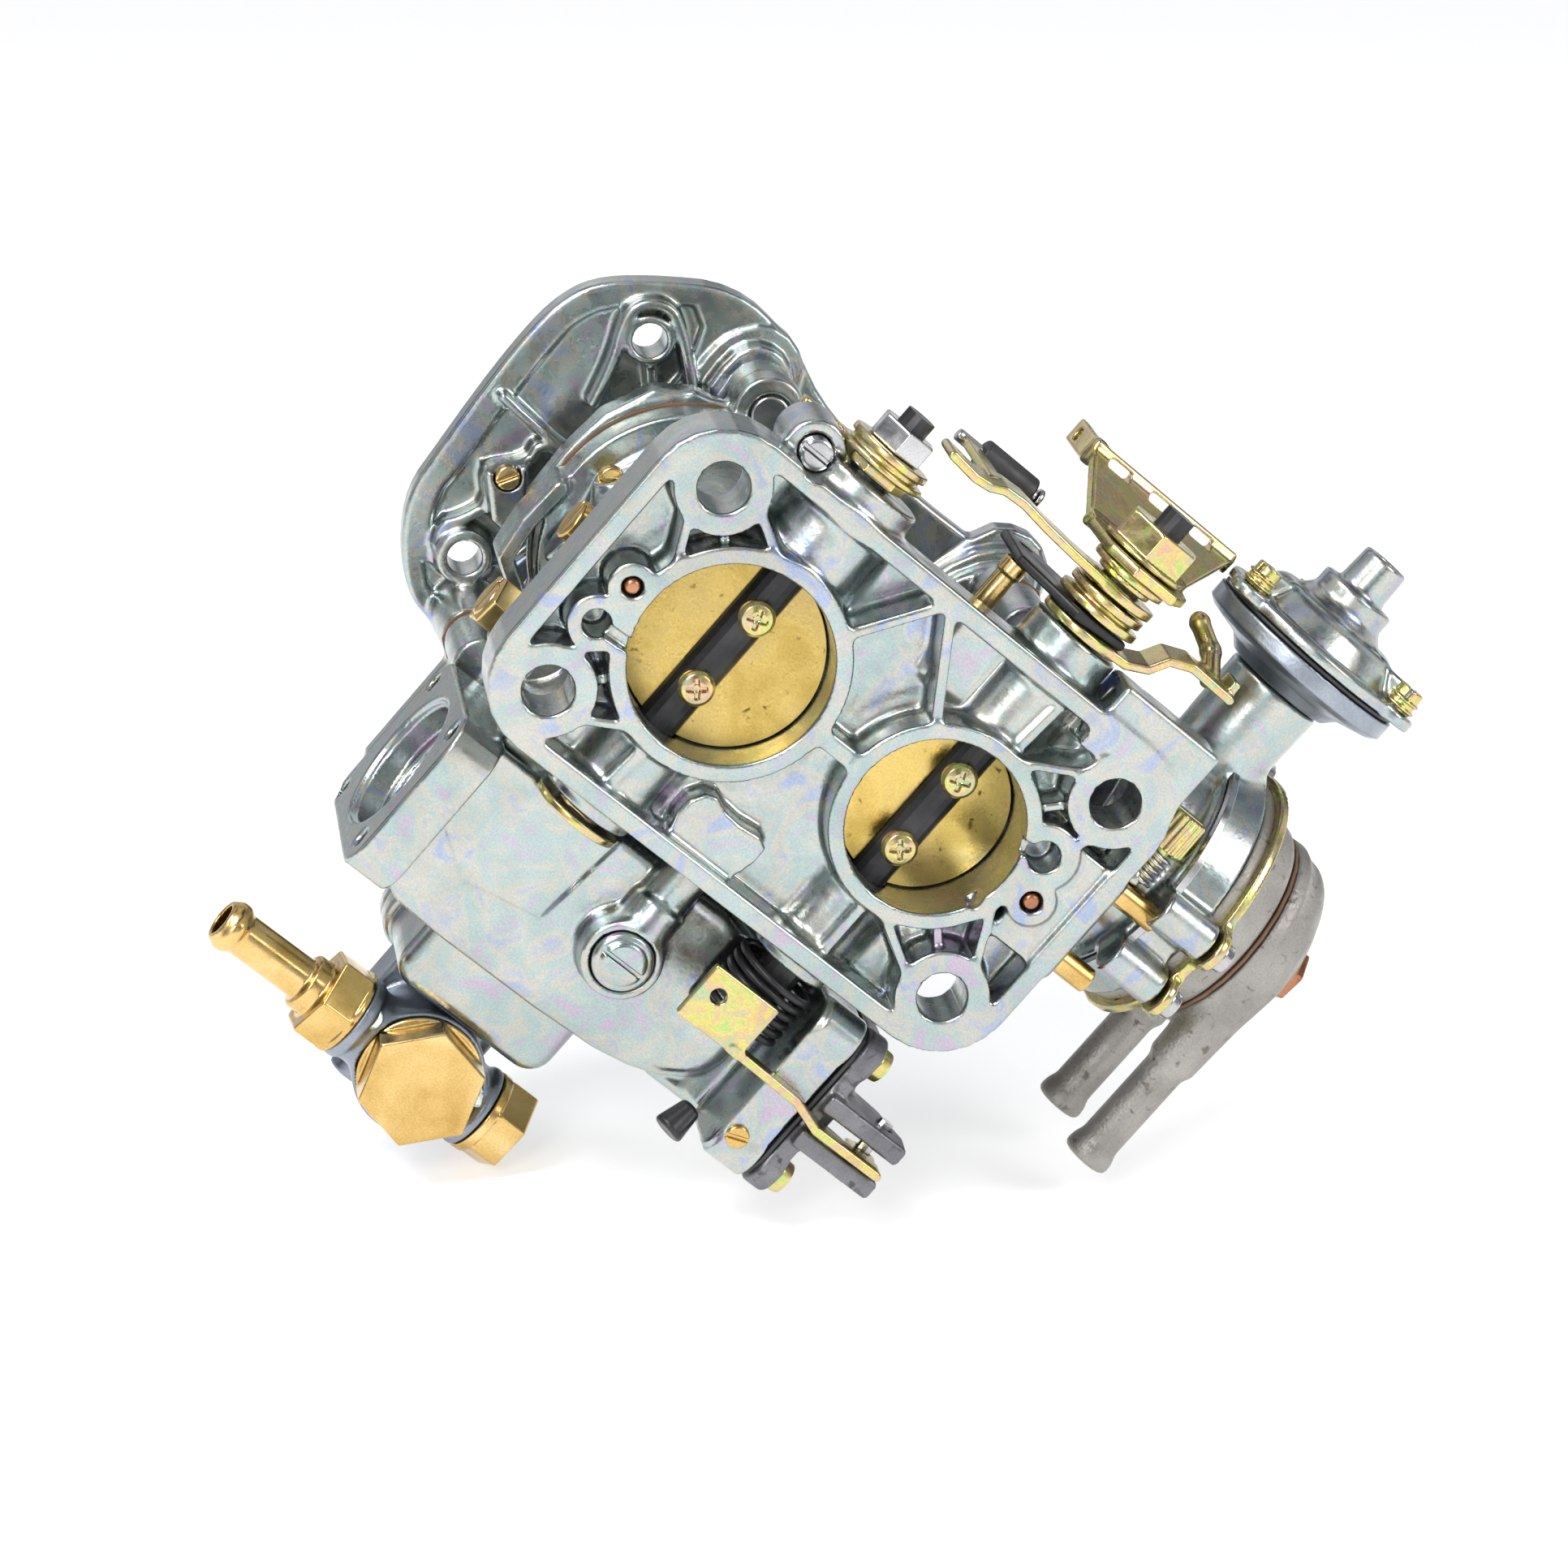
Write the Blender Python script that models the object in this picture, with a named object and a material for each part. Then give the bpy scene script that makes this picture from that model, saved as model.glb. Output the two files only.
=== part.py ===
"""Twin-choke downdraught carburettor with a water-heated automatic choke.

Row frame: the origin is the middle of the base flange's bottom face, +X runs from the
secondary (large) bore to the primary (small) bore and on to the choke, +Y runs along the
throttle shafts to the float bowl, and +Z runs up to the air horn.
Lengths below are millimetres; MM turns them into Blender's metres.
"""
import math

import bmesh
import bpy
from mathutils import Matrix, Vector

MM = 0.001

# ---- driving dimensions, mm ----
GAP = 0.3
WELD = 0.002
SECONDARY_X = -23.85
PRIMARY_X = 23.45
SECONDARY_BORE_R = 18.0
PRIMARY_BORE_R = 16.0
SHAFT_Z = 12.0
SHAFT_R = 4.0
SHAFT_HOLE_R = 4.3
PLATE_THICKNESS = 1.5
PLATE_SIDES = 32
CLOSED_TILT_DEG = 10.0

FLANGE_HALF_X = 57.3
FLANGE_HALF_Y = 34.2
FLANGE_CORNER_R = 14.0
FLANGE_RIM = 3.7
FLANGE_THICKNESS = 12.5
POCKET_DEPTH = 7.0
BOLT_X = 45.5
BOLT_Y = 23.0
BOLT_HOLE_R = 4.5
BOLT_BOSS_R = 8.8

DECK_Z = 67.7
GASKET_Z = (68.0, 68.6)
COVER_Z = 68.9
HORN_TOP_Z = 90.0
HORN_HOLE_X = 50.0
HORN_HOLE_Y = 26.0

BOWL_LOW = (-42.0, 38.0, 17.0)
BOWL_HIGH = (30.0, 73.5, DECK_Z)
BOWL_WALL = 3.0

CHOKE_Y = -14.0
CHOKE_Z = 32.0
CHOKE_SHAFT_Z = 80.0
PULLDOWN_X = 66.0
PUMP_Y = 55.0
PUMP_Z = 23.0
PUMP_PIVOT = (57.0, 56.0, 9.0)
INLET_X = -4.5
INLET_Y = 102.0
INLET_Z = 47.0
FLOAT_PIVOT = (-4.0, 82.0, 64.0)

PRIMARY_AXIS = (PRIMARY_X, 0.0, SHAFT_Z)
SECONDARY_AXIS = (SECONDARY_X, 0.0, SHAFT_Z)

# ---- finishes: colour, metallic, roughness ----
FINISHES = {
    "cast_zinc": ((0.62, 0.65, 0.68), 1.0, 0.38),
    "rough_cast": ((0.50, 0.48, 0.45), 0.8, 0.70),
    "dark_cast": ((0.16, 0.17, 0.18), 0.7, 0.55),
    "brass": ((0.80, 0.58, 0.22), 1.0, 0.22),
    "plate_brass": ((0.78, 0.56, 0.20), 1.0, 0.30),
    "yellow_zinc": ((0.70, 0.66, 0.38), 1.0, 0.30),
    "bright_steel": ((0.72, 0.72, 0.72), 1.0, 0.28),
    "black_steel": ((0.03, 0.03, 0.03), 0.6, 0.40),
    "gasket": ((0.30, 0.17, 0.08), 0.0, 0.85),
    "black_rubber": ((0.02, 0.02, 0.02), 0.0, 0.60),
    "float_plastic": ((0.05, 0.05, 0.05), 0.0, 0.50),
}

X_AXIS = (1.0, 0.0, 0.0)
Y_AXIS = (0.0, 1.0, 0.0)
Z_AXIS = (0.0, 0.0, 1.0)


# ---- tools ----
def clear_scene():
    for old in list(bpy.data.objects):
        bpy.data.objects.remove(old, do_unlink=True)


def finish_material(finish):
    material = bpy.data.materials.get(finish)
    if material is None:
        colour, metallic, roughness = FINISHES[finish]
        material = bpy.data.materials.new(finish)
        material.use_nodes = True
        shader = material.node_tree.nodes["Principled BSDF"]
        shader.inputs["Base Color"].default_value = (*colour, 1.0)
        shader.inputs["Metallic"].default_value = metallic
        shader.inputs["Roughness"].default_value = roughness
    return material


def frame_to(axis, centre):
    """Matrix that takes local +Z to an axis and the local origin to a centre."""
    turn = Vector(axis).to_track_quat("Z", "Y").to_matrix().to_4x4()
    return Matrix.Translation(Vector(centre)) @ turn


def mesh_from(bm, name="piece"):
    """Close a bmesh into a mesh whose faces point out."""
    bmesh.ops.recalc_face_normals(bm, faces=bm.faces)
    if bm.calc_volume(signed=True) < 0:
        bmesh.ops.reverse_faces(bm, faces=bm.faces)
    mesh = bpy.data.meshes.new(name)
    bm.to_mesh(mesh)
    bm.free()
    return mesh


def box(low, high):
    bm = bmesh.new()
    size = [high[i] - low[i] for i in range(3)]
    middle = [(high[i] + low[i]) / 2 for i in range(3)]
    bmesh.ops.create_cube(bm, size=1.0)
    bmesh.ops.scale(bm, vec=size, verts=bm.verts)
    bmesh.ops.translate(bm, vec=middle, verts=bm.verts)
    return mesh_from(bm)


def turned(profile, axis, centre, sides=24, phase=0.0):
    """Revolve (radius, height) points about an axis; a profile that leaves radius 0 closes on itself."""
    bm = bmesh.new()
    place = frame_to(axis, centre)
    rings = []
    for radius, height in profile:
        if radius < 1e-6:
            rings.append([bm.verts.new(place @ Vector((0.0, 0.0, height)))])
            continue
        ring = []
        for step in range(sides):
            angle = phase + math.tau * step / sides
            ring.append(bm.verts.new(place @ Vector((radius * math.cos(angle),
                                                     radius * math.sin(angle), height))))
        rings.append(ring)
    pairs = list(zip(rings[:-1], rings[1:]))
    if profile[0][0] > 1e-6 or profile[-1][0] > 1e-6:
        pairs.append((rings[-1], rings[0]))
    for first, second in pairs:
        for step in range(sides):
            after = (step + 1) % sides
            corners = [first[step % len(first)], first[after % len(first)],
                       second[after % len(second)], second[step % len(second)]]
            unique = list(dict.fromkeys(corners))
            if len(unique) > 2:
                bm.faces.new(unique)
    return mesh_from(bm)


def rod(start, end, radius, sides=20, end_radius=None, phase=0.0):
    """A straight round, or tapered, bar between two points."""
    along = Vector(end) - Vector(start)
    last = radius if end_radius is None else end_radius
    profile = [(0.0, 0.0), (radius, 0.0), (last, along.length), (0.0, along.length)]
    return turned(profile, along, start, sides, phase)


def ring(axis, centre, outer, inner, low, high, sides=24):
    profile = [(outer, low), (outer, high), (inner, high), (inner, low)]
    return turned(profile, axis, centre, sides)


def hexagon(start, end, across_flats, phase=0.0):
    return rod(start, end, across_flats / math.sqrt(3.0), 6, phase=phase)


def prism(outline, axis, low, high):
    """Extrude an outline: (x, y) for Z, (x, z) for Y and (y, z) for X."""
    bm = bmesh.new()
    layers = []
    for level in (low, high):
        layer = []
        for first, second in outline:
            spot = {"X": (level, first, second), "Y": (first, level, second),
                    "Z": (first, second, level)}[axis]
            layer.append(bm.verts.new(spot))
        layers.append(layer)
    bm.faces.new(layers[0])
    bm.faces.new(list(reversed(layers[1])))
    count = len(outline)
    for step in range(count):
        after = (step + 1) % count
        bm.faces.new([layers[0][step], layers[0][after], layers[1][after], layers[1][step]])
    return mesh_from(bm)


def rounded_rectangle(half_x, half_y, radius, steps=4, centre=(0.0, 0.0)):
    points = []
    for quarter, (sign_x, sign_y) in enumerate(((1, 1), (-1, 1), (-1, -1), (1, -1))):
        for step in range(steps + 1):
            angle = math.pi / 2 * (quarter + step / steps)
            points.append((centre[0] + sign_x * (half_x - radius) + radius * math.cos(angle),
                           centre[1] + sign_y * (half_y - radius) + radius * math.sin(angle)))
    return points


def rib(start, end, width, low, high):
    """An upright wall between two (x, y) points."""
    run = Vector((end[0] - start[0], end[1] - start[1]))
    side = Vector((-run.y, run.x)).normalized() * (width / 2)
    outline = [(start[0] + side.x, start[1] + side.y), (start[0] - side.x, start[1] - side.y),
               (end[0] - side.x, end[1] - side.y), (end[0] + side.x, end[1] + side.y)]
    return prism(outline, "Z", low, high)


def swept(path, radius, sides=8):
    """A round bar bent along a list of points."""
    bm = bmesh.new()
    points = [Vector(p) for p in path]
    tangents = []
    for index in range(len(points)):
        before = points[max(index - 1, 0)]
        after = points[min(index + 1, len(points) - 1)]
        tangents.append((after - before).normalized())
    normal = tangents[0].orthogonal().normalized()
    rings = []
    for point, tangent in zip(points, tangents):
        normal = (normal - tangent * normal.dot(tangent)).normalized()
        across = tangent.cross(normal)
        rings.append([bm.verts.new(point + radius * (math.cos(math.tau * s / sides) * normal
                                                     + math.sin(math.tau * s / sides) * across))
                      for s in range(sides)])
    for first, second in zip(rings[:-1], rings[1:]):
        for step in range(sides):
            after = (step + 1) % sides
            bm.faces.new([first[step], first[after], second[after], second[step]])
    bm.faces.new(rings[0])
    bm.faces.new(rings[-1])
    return mesh_from(bm)


def strip(path, plane_axis, low, high, thickness):
    """A bent flat strip: a centre line in the plane square to plane_axis, given a thickness."""
    points = [Vector(p) for p in path]
    left = []
    right = []
    for index, point in enumerate(points):
        before = points[max(index - 1, 0)]
        after = points[min(index + 1, len(points) - 1)]
        run = (after - before).normalized()
        side = Vector((-run.y, run.x)) * (thickness / 2)
        left.append(tuple(point + side))
        right.append(tuple(point - side))
    return prism(left + right[::-1], plane_axis, low, high)


def helix(axis_point, radius, start_y, end_y, turns, steps=10):
    """Points of a coil that winds about a line along Y."""
    count = int(turns * steps)
    points = []
    for step in range(count + 1):
        angle = math.tau * step / steps
        points.append((axis_point[0] + radius * math.cos(angle),
                       start_y + (end_y - start_y) * step / count,
                       axis_point[1] + radius * math.sin(angle)))
    return points


def cleaned(mesh, flatten=False):
    """Weld the slivers that a cut leaves, and merge faces that lie in one plane."""
    bm = bmesh.new()
    bm.from_mesh(mesh)
    bmesh.ops.remove_doubles(bm, verts=bm.verts, dist=WELD)
    bmesh.ops.dissolve_degenerate(bm, edges=bm.edges, dist=WELD)
    if flatten:
        bmesh.ops.dissolve_limit(bm, angle_limit=math.radians(0.5), verts=bm.verts, edges=bm.edges)
    return mesh_from(bm)


def combined(solids, cuts=()):
    """Join solids into one closed body, then take the cuts out of it."""
    base = bpy.data.objects.new("base", solids[0])
    bpy.context.collection.objects.link(base)
    for operation, tools in (("UNION", solids[1:]), ("DIFFERENCE", cuts)):
        for tool_mesh in tools:
            tool = bpy.data.objects.new("tool", tool_mesh)
            bpy.context.collection.objects.link(tool)
            modifier = base.modifiers.new("combine", "BOOLEAN")
            modifier.operation = operation
            modifier.solver = "EXACT"
            modifier.object = tool
            depsgraph = bpy.context.evaluated_depsgraph_get()
            result = bpy.data.meshes.new_from_object(base.evaluated_get(depsgraph))
            base.modifiers.clear()
            base.data = cleaned(result)
            bpy.data.objects.remove(tool, do_unlink=True)
    mesh = base.data
    bpy.data.objects.remove(base, do_unlink=True)
    return mesh


def pivot(name, spot):
    """An empty that stands on a joint's axis and carries its moving pieces."""
    empty = bpy.data.objects.new(name, None)
    empty.location = Vector(spot) * MM
    empty.empty_display_size = 0.01
    bpy.context.collection.objects.link(empty)
    return empty


def piece(name, mesh, finish, carrier=None):
    """Turn a millimetre mesh into a named object; a carried piece has its origin on the carrier."""
    origin = Vector(carrier.location) if carrier else Vector((0.0, 0.0, 0.0))
    mesh = cleaned(mesh, flatten=True)
    mesh.transform(Matrix.Translation(-origin) @ Matrix.Scale(MM, 4))
    mesh.materials.clear()
    mesh.materials.append(finish_material(finish))
    mesh.shade_smooth()
    mesh.set_sharp_from_angle(angle=math.radians(35))
    mesh.name = name
    made = bpy.data.objects.new(name, mesh)
    bpy.context.collection.objects.link(made)
    if carrier:
        made.parent = carrier
    return made


# ---- main body ----
def flange_solids():
    """Pocketed base flange: rim, bore rings, stud bosses and stiffening ribs."""
    outline = rounded_rectangle(FLANGE_HALF_X, FLANGE_HALF_Y, FLANGE_CORNER_R)
    inner = rounded_rectangle(FLANGE_HALF_X - FLANGE_RIM, FLANGE_HALF_Y - FLANGE_RIM,
                              FLANGE_CORNER_R - FLANGE_RIM)
    tray = combined([prism(outline, "Z", 0.0, FLANGE_THICKNESS)],
                    [prism(inner, "Z", -1.0, POCKET_DEPTH)])
    solids = [tray]
    for bore_x, bore_r in ((SECONDARY_X, SECONDARY_BORE_R), (PRIMARY_X, PRIMARY_BORE_R)):
        solids.append(rod((bore_x, 0, 0), (bore_x, 0, 16), bore_r + 3.2, 28))
    for sign_x in (-1, 1):
        bore_x = SECONDARY_X if sign_x < 0 else PRIMARY_X
        for sign_y in (-1, 1):
            stud = (sign_x * BOLT_X, sign_y * BOLT_Y)
            solids.append(rod((*stud, 0), (*stud, 10), BOLT_BOSS_R, 14))
            solids.append(rib(stud, (bore_x, 0.0), 2.4, 0.3, 10))
    solids.append(rib((-2.0, -29.0), (-12.0, -16.0), 2.6, 0.4, 10))
    solids.append(rib((-1.0, -29.0), (11.0, -15.0), 2.6, 0.4, 10))
    solids.append(rib((-7.0, 0.0), (8.0, 0.0), 9.0, 0.0, 10))
    solids.append(rod((-46.2, 0, 0), (-46.2, 0, 10), 4.4, 10))
    solids.append(rod((-46.8, 8.7, 0), (-46.8, 8.7, 10), 5.2, 10))
    solids.append(rod((43.0, -4.0, 0), (43.0, -4.0, 10), 7.0, 12))
    solids.append(rod((-5.0, 25.0, 3), (-5.0, 25.0, 12), 8.0, 12))
    return solids


def throttle_barrels():
    """The two throttle barrels, the top deck and the shaft bosses."""
    solids = [rod((SECONDARY_X, 0, 10), (SECONDARY_X, 0, 62), 23.5, 24),
              rod((PRIMARY_X, 0, 10), (PRIMARY_X, 0, 62), 21.5, 24),
              rod((SECONDARY_X, 0, 60), (SECONDARY_X, 0, DECK_Z), 28.0, 24),
              rod((PRIMARY_X, 0, 60), (PRIMARY_X, 0, DECK_Z), 26.0, 24),
              box((-12.0, -19.0, 11.5), (12.0, 19.0, 66.0))]
    for shaft_x, low_y, low_r, high_r in ((SECONDARY_X, -38.5, 11.0, 9.0), (PRIMARY_X, -40.5, 8.8, 8.0)):
        solids.append(rod((shaft_x, low_y, SHAFT_Z), (shaft_x, -15.0, SHAFT_Z), low_r, 16))
        solids.append(rod((shaft_x, 15.0, SHAFT_Z), (shaft_x, 37.0, SHAFT_Z), high_r, 14))
    for spot in ((-31.0, -31.0), (-43.0, 37.0), (31.0, -30.0)):
        solids.append(rod((*spot, 56), (*spot, DECK_Z), 5.6, 10))
    return solids


def bowl_outline(grow=0.0):
    """Plan of the bowl, cut back at the corner where the pump sits."""
    x0, y0, _ = BOWL_LOW
    x1, y1, _ = BOWL_HIGH
    return [(x0 - grow, y0 - grow), (x0 - grow, y1 - 7.0), (x0 + 2.0, y1 - 2.5), (x0 + 7.0, y1 + grow),
            (6.0, y1 + grow), (20.0, y1 - 2.5 + grow), (x1 - 2.0, y1 - 7.5 + grow),
            (x1 + grow, y1 - 14.0), (x1 + grow, y0 - grow)]


def float_bowl():
    """Bowl casting, its deep end by the inlet, the machined side pad and the slotted plug boss."""
    z0 = BOWL_LOW[2]
    z1 = BOWL_HIGH[2]
    solids = [prism(bowl_outline(), "Z", z0, z1),
              prism(rounded_rectangle(17.5, 14.0, 6.0, 3, (-4.5, 76.0)), "Z", 40.0, z1),
              box((-41.0, 18.0, 22.0), (27.0, 41.0, 66.5)),
              prism(rounded_rectangle(17.0, 20.0, 6.0, 2, (55.5, 32.0)), "X", -49.0, -40.0),
              rod((0.0, 55.0, 10.5), (0.0, 55.0, 20.0), 7.4, 16),
              rod((0.0, 30.0, 16.0), (0.0, 52.0, 16.0), 4.6, 14)]
    return solids


def pump_housing():
    """Square pump chamber held to the bowl by a block that clears the return spring."""
    outline = rounded_rectangle(17.5, 17.5, 5.0, 2, (PUMP_Y, PUMP_Z))
    return [prism(outline, "X", 33.0, 42.0),
            box((20.0, 38.4, 21.5), (34.0, 71.6, 38.0))]


def body_lugs():
    """Small bosses and lugs round the flange."""
    return [rod((-35.0, -36.5, 9.0), (-35.0, -36.5, 22.0), 5.6, 16),
            box((-39.0, -37.0, 10.0), (-31.0, -24.0, 18.0)),
            box((33.0, -40.5, 0.3), (55.0, -27.0, 11.5)),
            rod((9.5, -31.0, 20.5), (9.5, -20.0, 20.5), 5.0, 14),
            box((4.5, -31.0, 8.0), (14.5, -18.0, 20.0)),
            box((44.0, -13.0, 1.0), (61.5, 9.0, 12.4)),
            box((38.0, -34.0, 24.0), (49.2, 2.0, 54.0)),
            rod((-44.0, 2.0, 30.0), (-51.0, 2.0, 30.0), 4.6, 14),
            rod((-40.0, 25.0, 45.0), (-48.0, 25.0, 45.0), 6.0, 14)]


def body_cuts():
    cuts = [rod((SECONDARY_X, 0, -1), (SECONDARY_X, 0, 70), SECONDARY_BORE_R, 32),
            rod((PRIMARY_X, 0, -1), (PRIMARY_X, 0, 70), PRIMARY_BORE_R, 32)]
    for shaft_x in (SECONDARY_X, PRIMARY_X):
        cuts.append(rod((shaft_x, -43, SHAFT_Z), (shaft_x, 39, SHAFT_Z), SHAFT_HOLE_R, 12))
    for sign_x in (-1, 1):
        for sign_y in (-1, 1):
            stud = (sign_x * BOLT_X, sign_y * BOLT_Y)
            cuts.append(rod((*stud, -1), (*stud, 14), BOLT_HOLE_R, 12))
            cuts.append(rod((*stud, FLANGE_THICKNESS), (*stud, 34), 9.2, 14))
    x0, y0, z0 = BOWL_LOW
    _, y1, z1 = BOWL_HIGH
    cuts.append(box((x0 + BOWL_WALL, y0 + 4.0, z0 + BOWL_WALL), (15.0, y1 - BOWL_WALL, z1 + 2.0)))
    cuts.append(box((-19.0, y1 - 8.0, 43.0), (10.0, 87.0, z1 + 2.0)))
    cuts.append(rod((-50.0, 55.5, 32.0), (-43.5, 55.5, 32.0), 12.5, 16))
    cuts.append(rod((0.0, 55.0, 9.0), (0.0, 55.0, 17.0), 5.9, 16))
    cuts.append(rod((43.0, PUMP_Y, PUMP_Z), (36.0, PUMP_Y, PUMP_Z), 12.0, 20))
    cuts.append(rod((PRIMARY_X, 37.3, SHAFT_Z), (PRIMARY_X, 53.5, SHAFT_Z), 9.6, 20))
    cuts.append(rod((SECONDARY_X, 37.3, SHAFT_Z), (SECONDARY_X, 40.2, SHAFT_Z), 9.2, 20))
    cuts.append(rod((-52.0, 2.0, 30.0), (-42.0, 2.0, 30.0), 3.0, 10))
    cuts.append(rod((-49.0, 25.0, 45.0), (-38.0, 25.0, 45.0), 3.4, 12))
    cuts.append(rod((-35.0, -36.5, -1.0), (-35.0, -36.5, 23.0), 3.4, 12))
    cuts.append(rod((9.5, -32.0, 20.5), (9.5, -17.0, 20.5), 2.9, 12))
    for tube_y in (-10.0, 6.0):
        cuts.append(rod((66.0, tube_y, 8.0), (46.0, tube_y, 8.0), 2.8, 12))
    return cuts


def main_body():
    solids = (flange_solids() + throttle_barrels() + float_bowl() + pump_housing() + body_lugs())
    piece("main_body", combined(solids, body_cuts()), "cast_zinc")


# ---- cover ----
def deck_layer(low, high, grow=0.0):
    """A flat layer that follows the body's top deck, sliced from columns of uneven height."""
    columns = []

    def span():
        reach = 2.0 + len(columns)
        return low - reach, high + reach

    for x, y, radius, sides in ((SECONDARY_X, 0.0, 28.0, 24), (PRIMARY_X, 0.0, 26.0, 24),
                                (-31.0, -31.0, 5.6, 10), (-43.0, 37.0, 5.6, 10), (31.0, -30.0, 5.6, 10)):
        bottom, top = span()
        columns.append(rod((x, y, bottom), (x, y, top), radius + grow, sides))
    for outline in (bowl_outline(grow), rounded_rectangle(17.5 + grow, 14.0 + grow, 6.0, 3, (-4.5, 76.0)),
                    rounded_rectangle(35.0 + grow, 14.0 + grow, 2.0, 1, (-6.0, 28.0))):
        columns.append(prism(outline, "Z", *span()))
    far = 200.0
    return combined(columns, [box((-far, -far, low - far), (far, far, low)),
                              box((-far, -far, high), (far, far, high + far))])


def cover_gasket():
    low, high = GASKET_Z
    cuts = [rod((SECONDARY_X, 0, low - 1), (SECONDARY_X, 0, high + 1), SECONDARY_BORE_R + 1, 24),
            rod((PRIMARY_X, 0, low - 1), (PRIMARY_X, 0, high + 1), PRIMARY_BORE_R + 1, 24),
            box((BOWL_LOW[0] + 4, 43.0, low - 1), (14.0, 72.0, high + 1)),
            box((-18.0, 60.0, low - 1), (9.0, 86.0, high + 1))]
    piece("cover_gasket", combined([deck_layer(low, high, 0.4)], cuts), "gasket")


def horn_outline():
    """Air filter flange of the cover."""
    left = [(-38.0, -34.5), (-51.0, -33.5), (-60.0, -29.5), (-65.5, -23.0), (-68.0, -15.0),
            (-68.5, 15.0), (-66.5, 25.0), (-61.5, 33.0), (-55.0, 39.0), (-46.0, 42.0)]
    right = [(-x, y) for x, y in reversed(left)]
    return [(-26.0, -35.5)] + left + right + [(26.0, -35.5)]


def air_horn():
    """Cover casting: bowl lid, choke bores, air filter flange and fuel inlet boss."""
    solids = [deck_layer(COVER_Z, 75.0)]
    outline = horn_outline()
    tray = combined([prism(outline, "Z", 81.0, HORN_TOP_Z)],
                    [prism([(x * 0.95, y * 0.93) for x, y in outline], "Z", 79.0, 85.0)])
    solids.append(tray)
    solids.append(rod((SECONDARY_X, 0, 74), (SECONDARY_X, 0, 90), 22.5, 24))
    solids.append(rod((PRIMARY_X, 0, 74), (PRIMARY_X, 0, 90), 20.5, 24))
    solids.append(box((-36.0, 15.0, 74.0), (18.0, 32.0, 86.0)))
    for sign_x in (-1, 1):
        for sign_y in (-1, 1):
            spot = (sign_x * HORN_HOLE_X, sign_y * HORN_HOLE_Y)
            solids.append(rod((*spot, 80), (*spot, 88), 6.0, 10))
            solids.append(rib(spot, (sign_x * 24.0, sign_y * 8.0), 3.0, 80.5, 88.0))
    solids.append(rod((INLET_X, INLET_Y, COVER_Z), (INLET_X, INLET_Y, 80.0), 12.5, 18))
    solids.append(box((INLET_X - 8, 86.0, COVER_Z), (INLET_X + 8, 100.0, 78.0)))
    cuts = [rod((SECONDARY_X, 0, 67), (SECONDARY_X, 0, 93), 19.0, 28),
            rod((PRIMARY_X, 0, 67), (PRIMARY_X, 0, 93), 17.5, 28),
            rod((-50.0, 0, CHOKE_SHAFT_Z), (62.0, 0, CHOKE_SHAFT_Z), 3.3, 14)]
    for sign_x in (-1, 1):
        for sign_y in (-1, 1):
            spot = (sign_x * HORN_HOLE_X, sign_y * HORN_HOLE_Y)
            cuts.append(rod((*spot, 78), (*spot, 94), 2.9, 10))
    cuts.append(rod((INLET_X, 82.0, 67.0), (INLET_X, 82.0, 74.5), 3.2, 12))
    piece("air_horn", combined(solids, cuts), "cast_zinc")


# ---- throttles ----
def tilted_box(bore_x, half_x, length_y, thickness, tilt=CLOSED_TILT_DEG):
    bm = bmesh.new()
    bmesh.ops.create_cube(bm, size=1.0)
    bmesh.ops.scale(bm, vec=(2 * half_x, length_y, thickness), verts=bm.verts)
    turn = Matrix.Rotation(-math.radians(tilt), 4, "Y")
    bmesh.ops.transform(bm, matrix=Matrix.Translation((bore_x, 0, SHAFT_Z)) @ turn, verts=bm.verts)
    return mesh_from(bm)


def throttle_plate(name, bore_x, bore_r, tilt, carrier):
    """A disc that closes its bore at a small tilt, so it is slightly oval."""
    reach = bore_r - GAP
    slope = math.tan(math.radians(tilt))
    bm = bmesh.new()
    layers = []
    half = PLATE_THICKNESS / 2
    for level in (-half, half):
        layer = []
        for step in range(PLATE_SIDES):
            angle = math.tau * step / PLATE_SIDES
            across = reach * math.cos(angle)
            layer.append(bm.verts.new((bore_x + across, reach * math.sin(angle),
                                       SHAFT_Z + across * slope + level)))
        layers.append(layer)
    bm.faces.new(layers[0])
    bm.faces.new(layers[1][::-1])
    for step in range(PLATE_SIDES):
        after = (step + 1) % PLATE_SIDES
        bm.faces.new([layers[0][step], layers[0][after], layers[1][after], layers[1][step]])
    holes = [rod((bore_x, sign * 8.0, 0), (bore_x, sign * 8.0, 24), 1.9, 10) for sign in (-1, 1)]
    piece(name, combined([mesh_from(bm)], holes), "plate_brass", carrier)


def plate_screws(prefix, bore_x, carrier):
    for number, spot_y in enumerate((-8.0, 8.0), 1):
        profile = [(0.0, 0.0), (3.3, 0.0), (3.3, 1.1), (2.4, 1.9), (0.0, 1.9)]
        head = turned(profile, (0, 0, -1), (bore_x, spot_y, SHAFT_Z - SHAFT_R - 0.1), 16)
        stem = rod((bore_x, spot_y, SHAFT_Z + 5.0), (bore_x, spot_y, SHAFT_Z - SHAFT_R - 0.6), 1.5, 10)
        piece(f"{prefix}_plate_screw_{number}", combined([head, stem]), "yellow_zinc", carrier)


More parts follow.
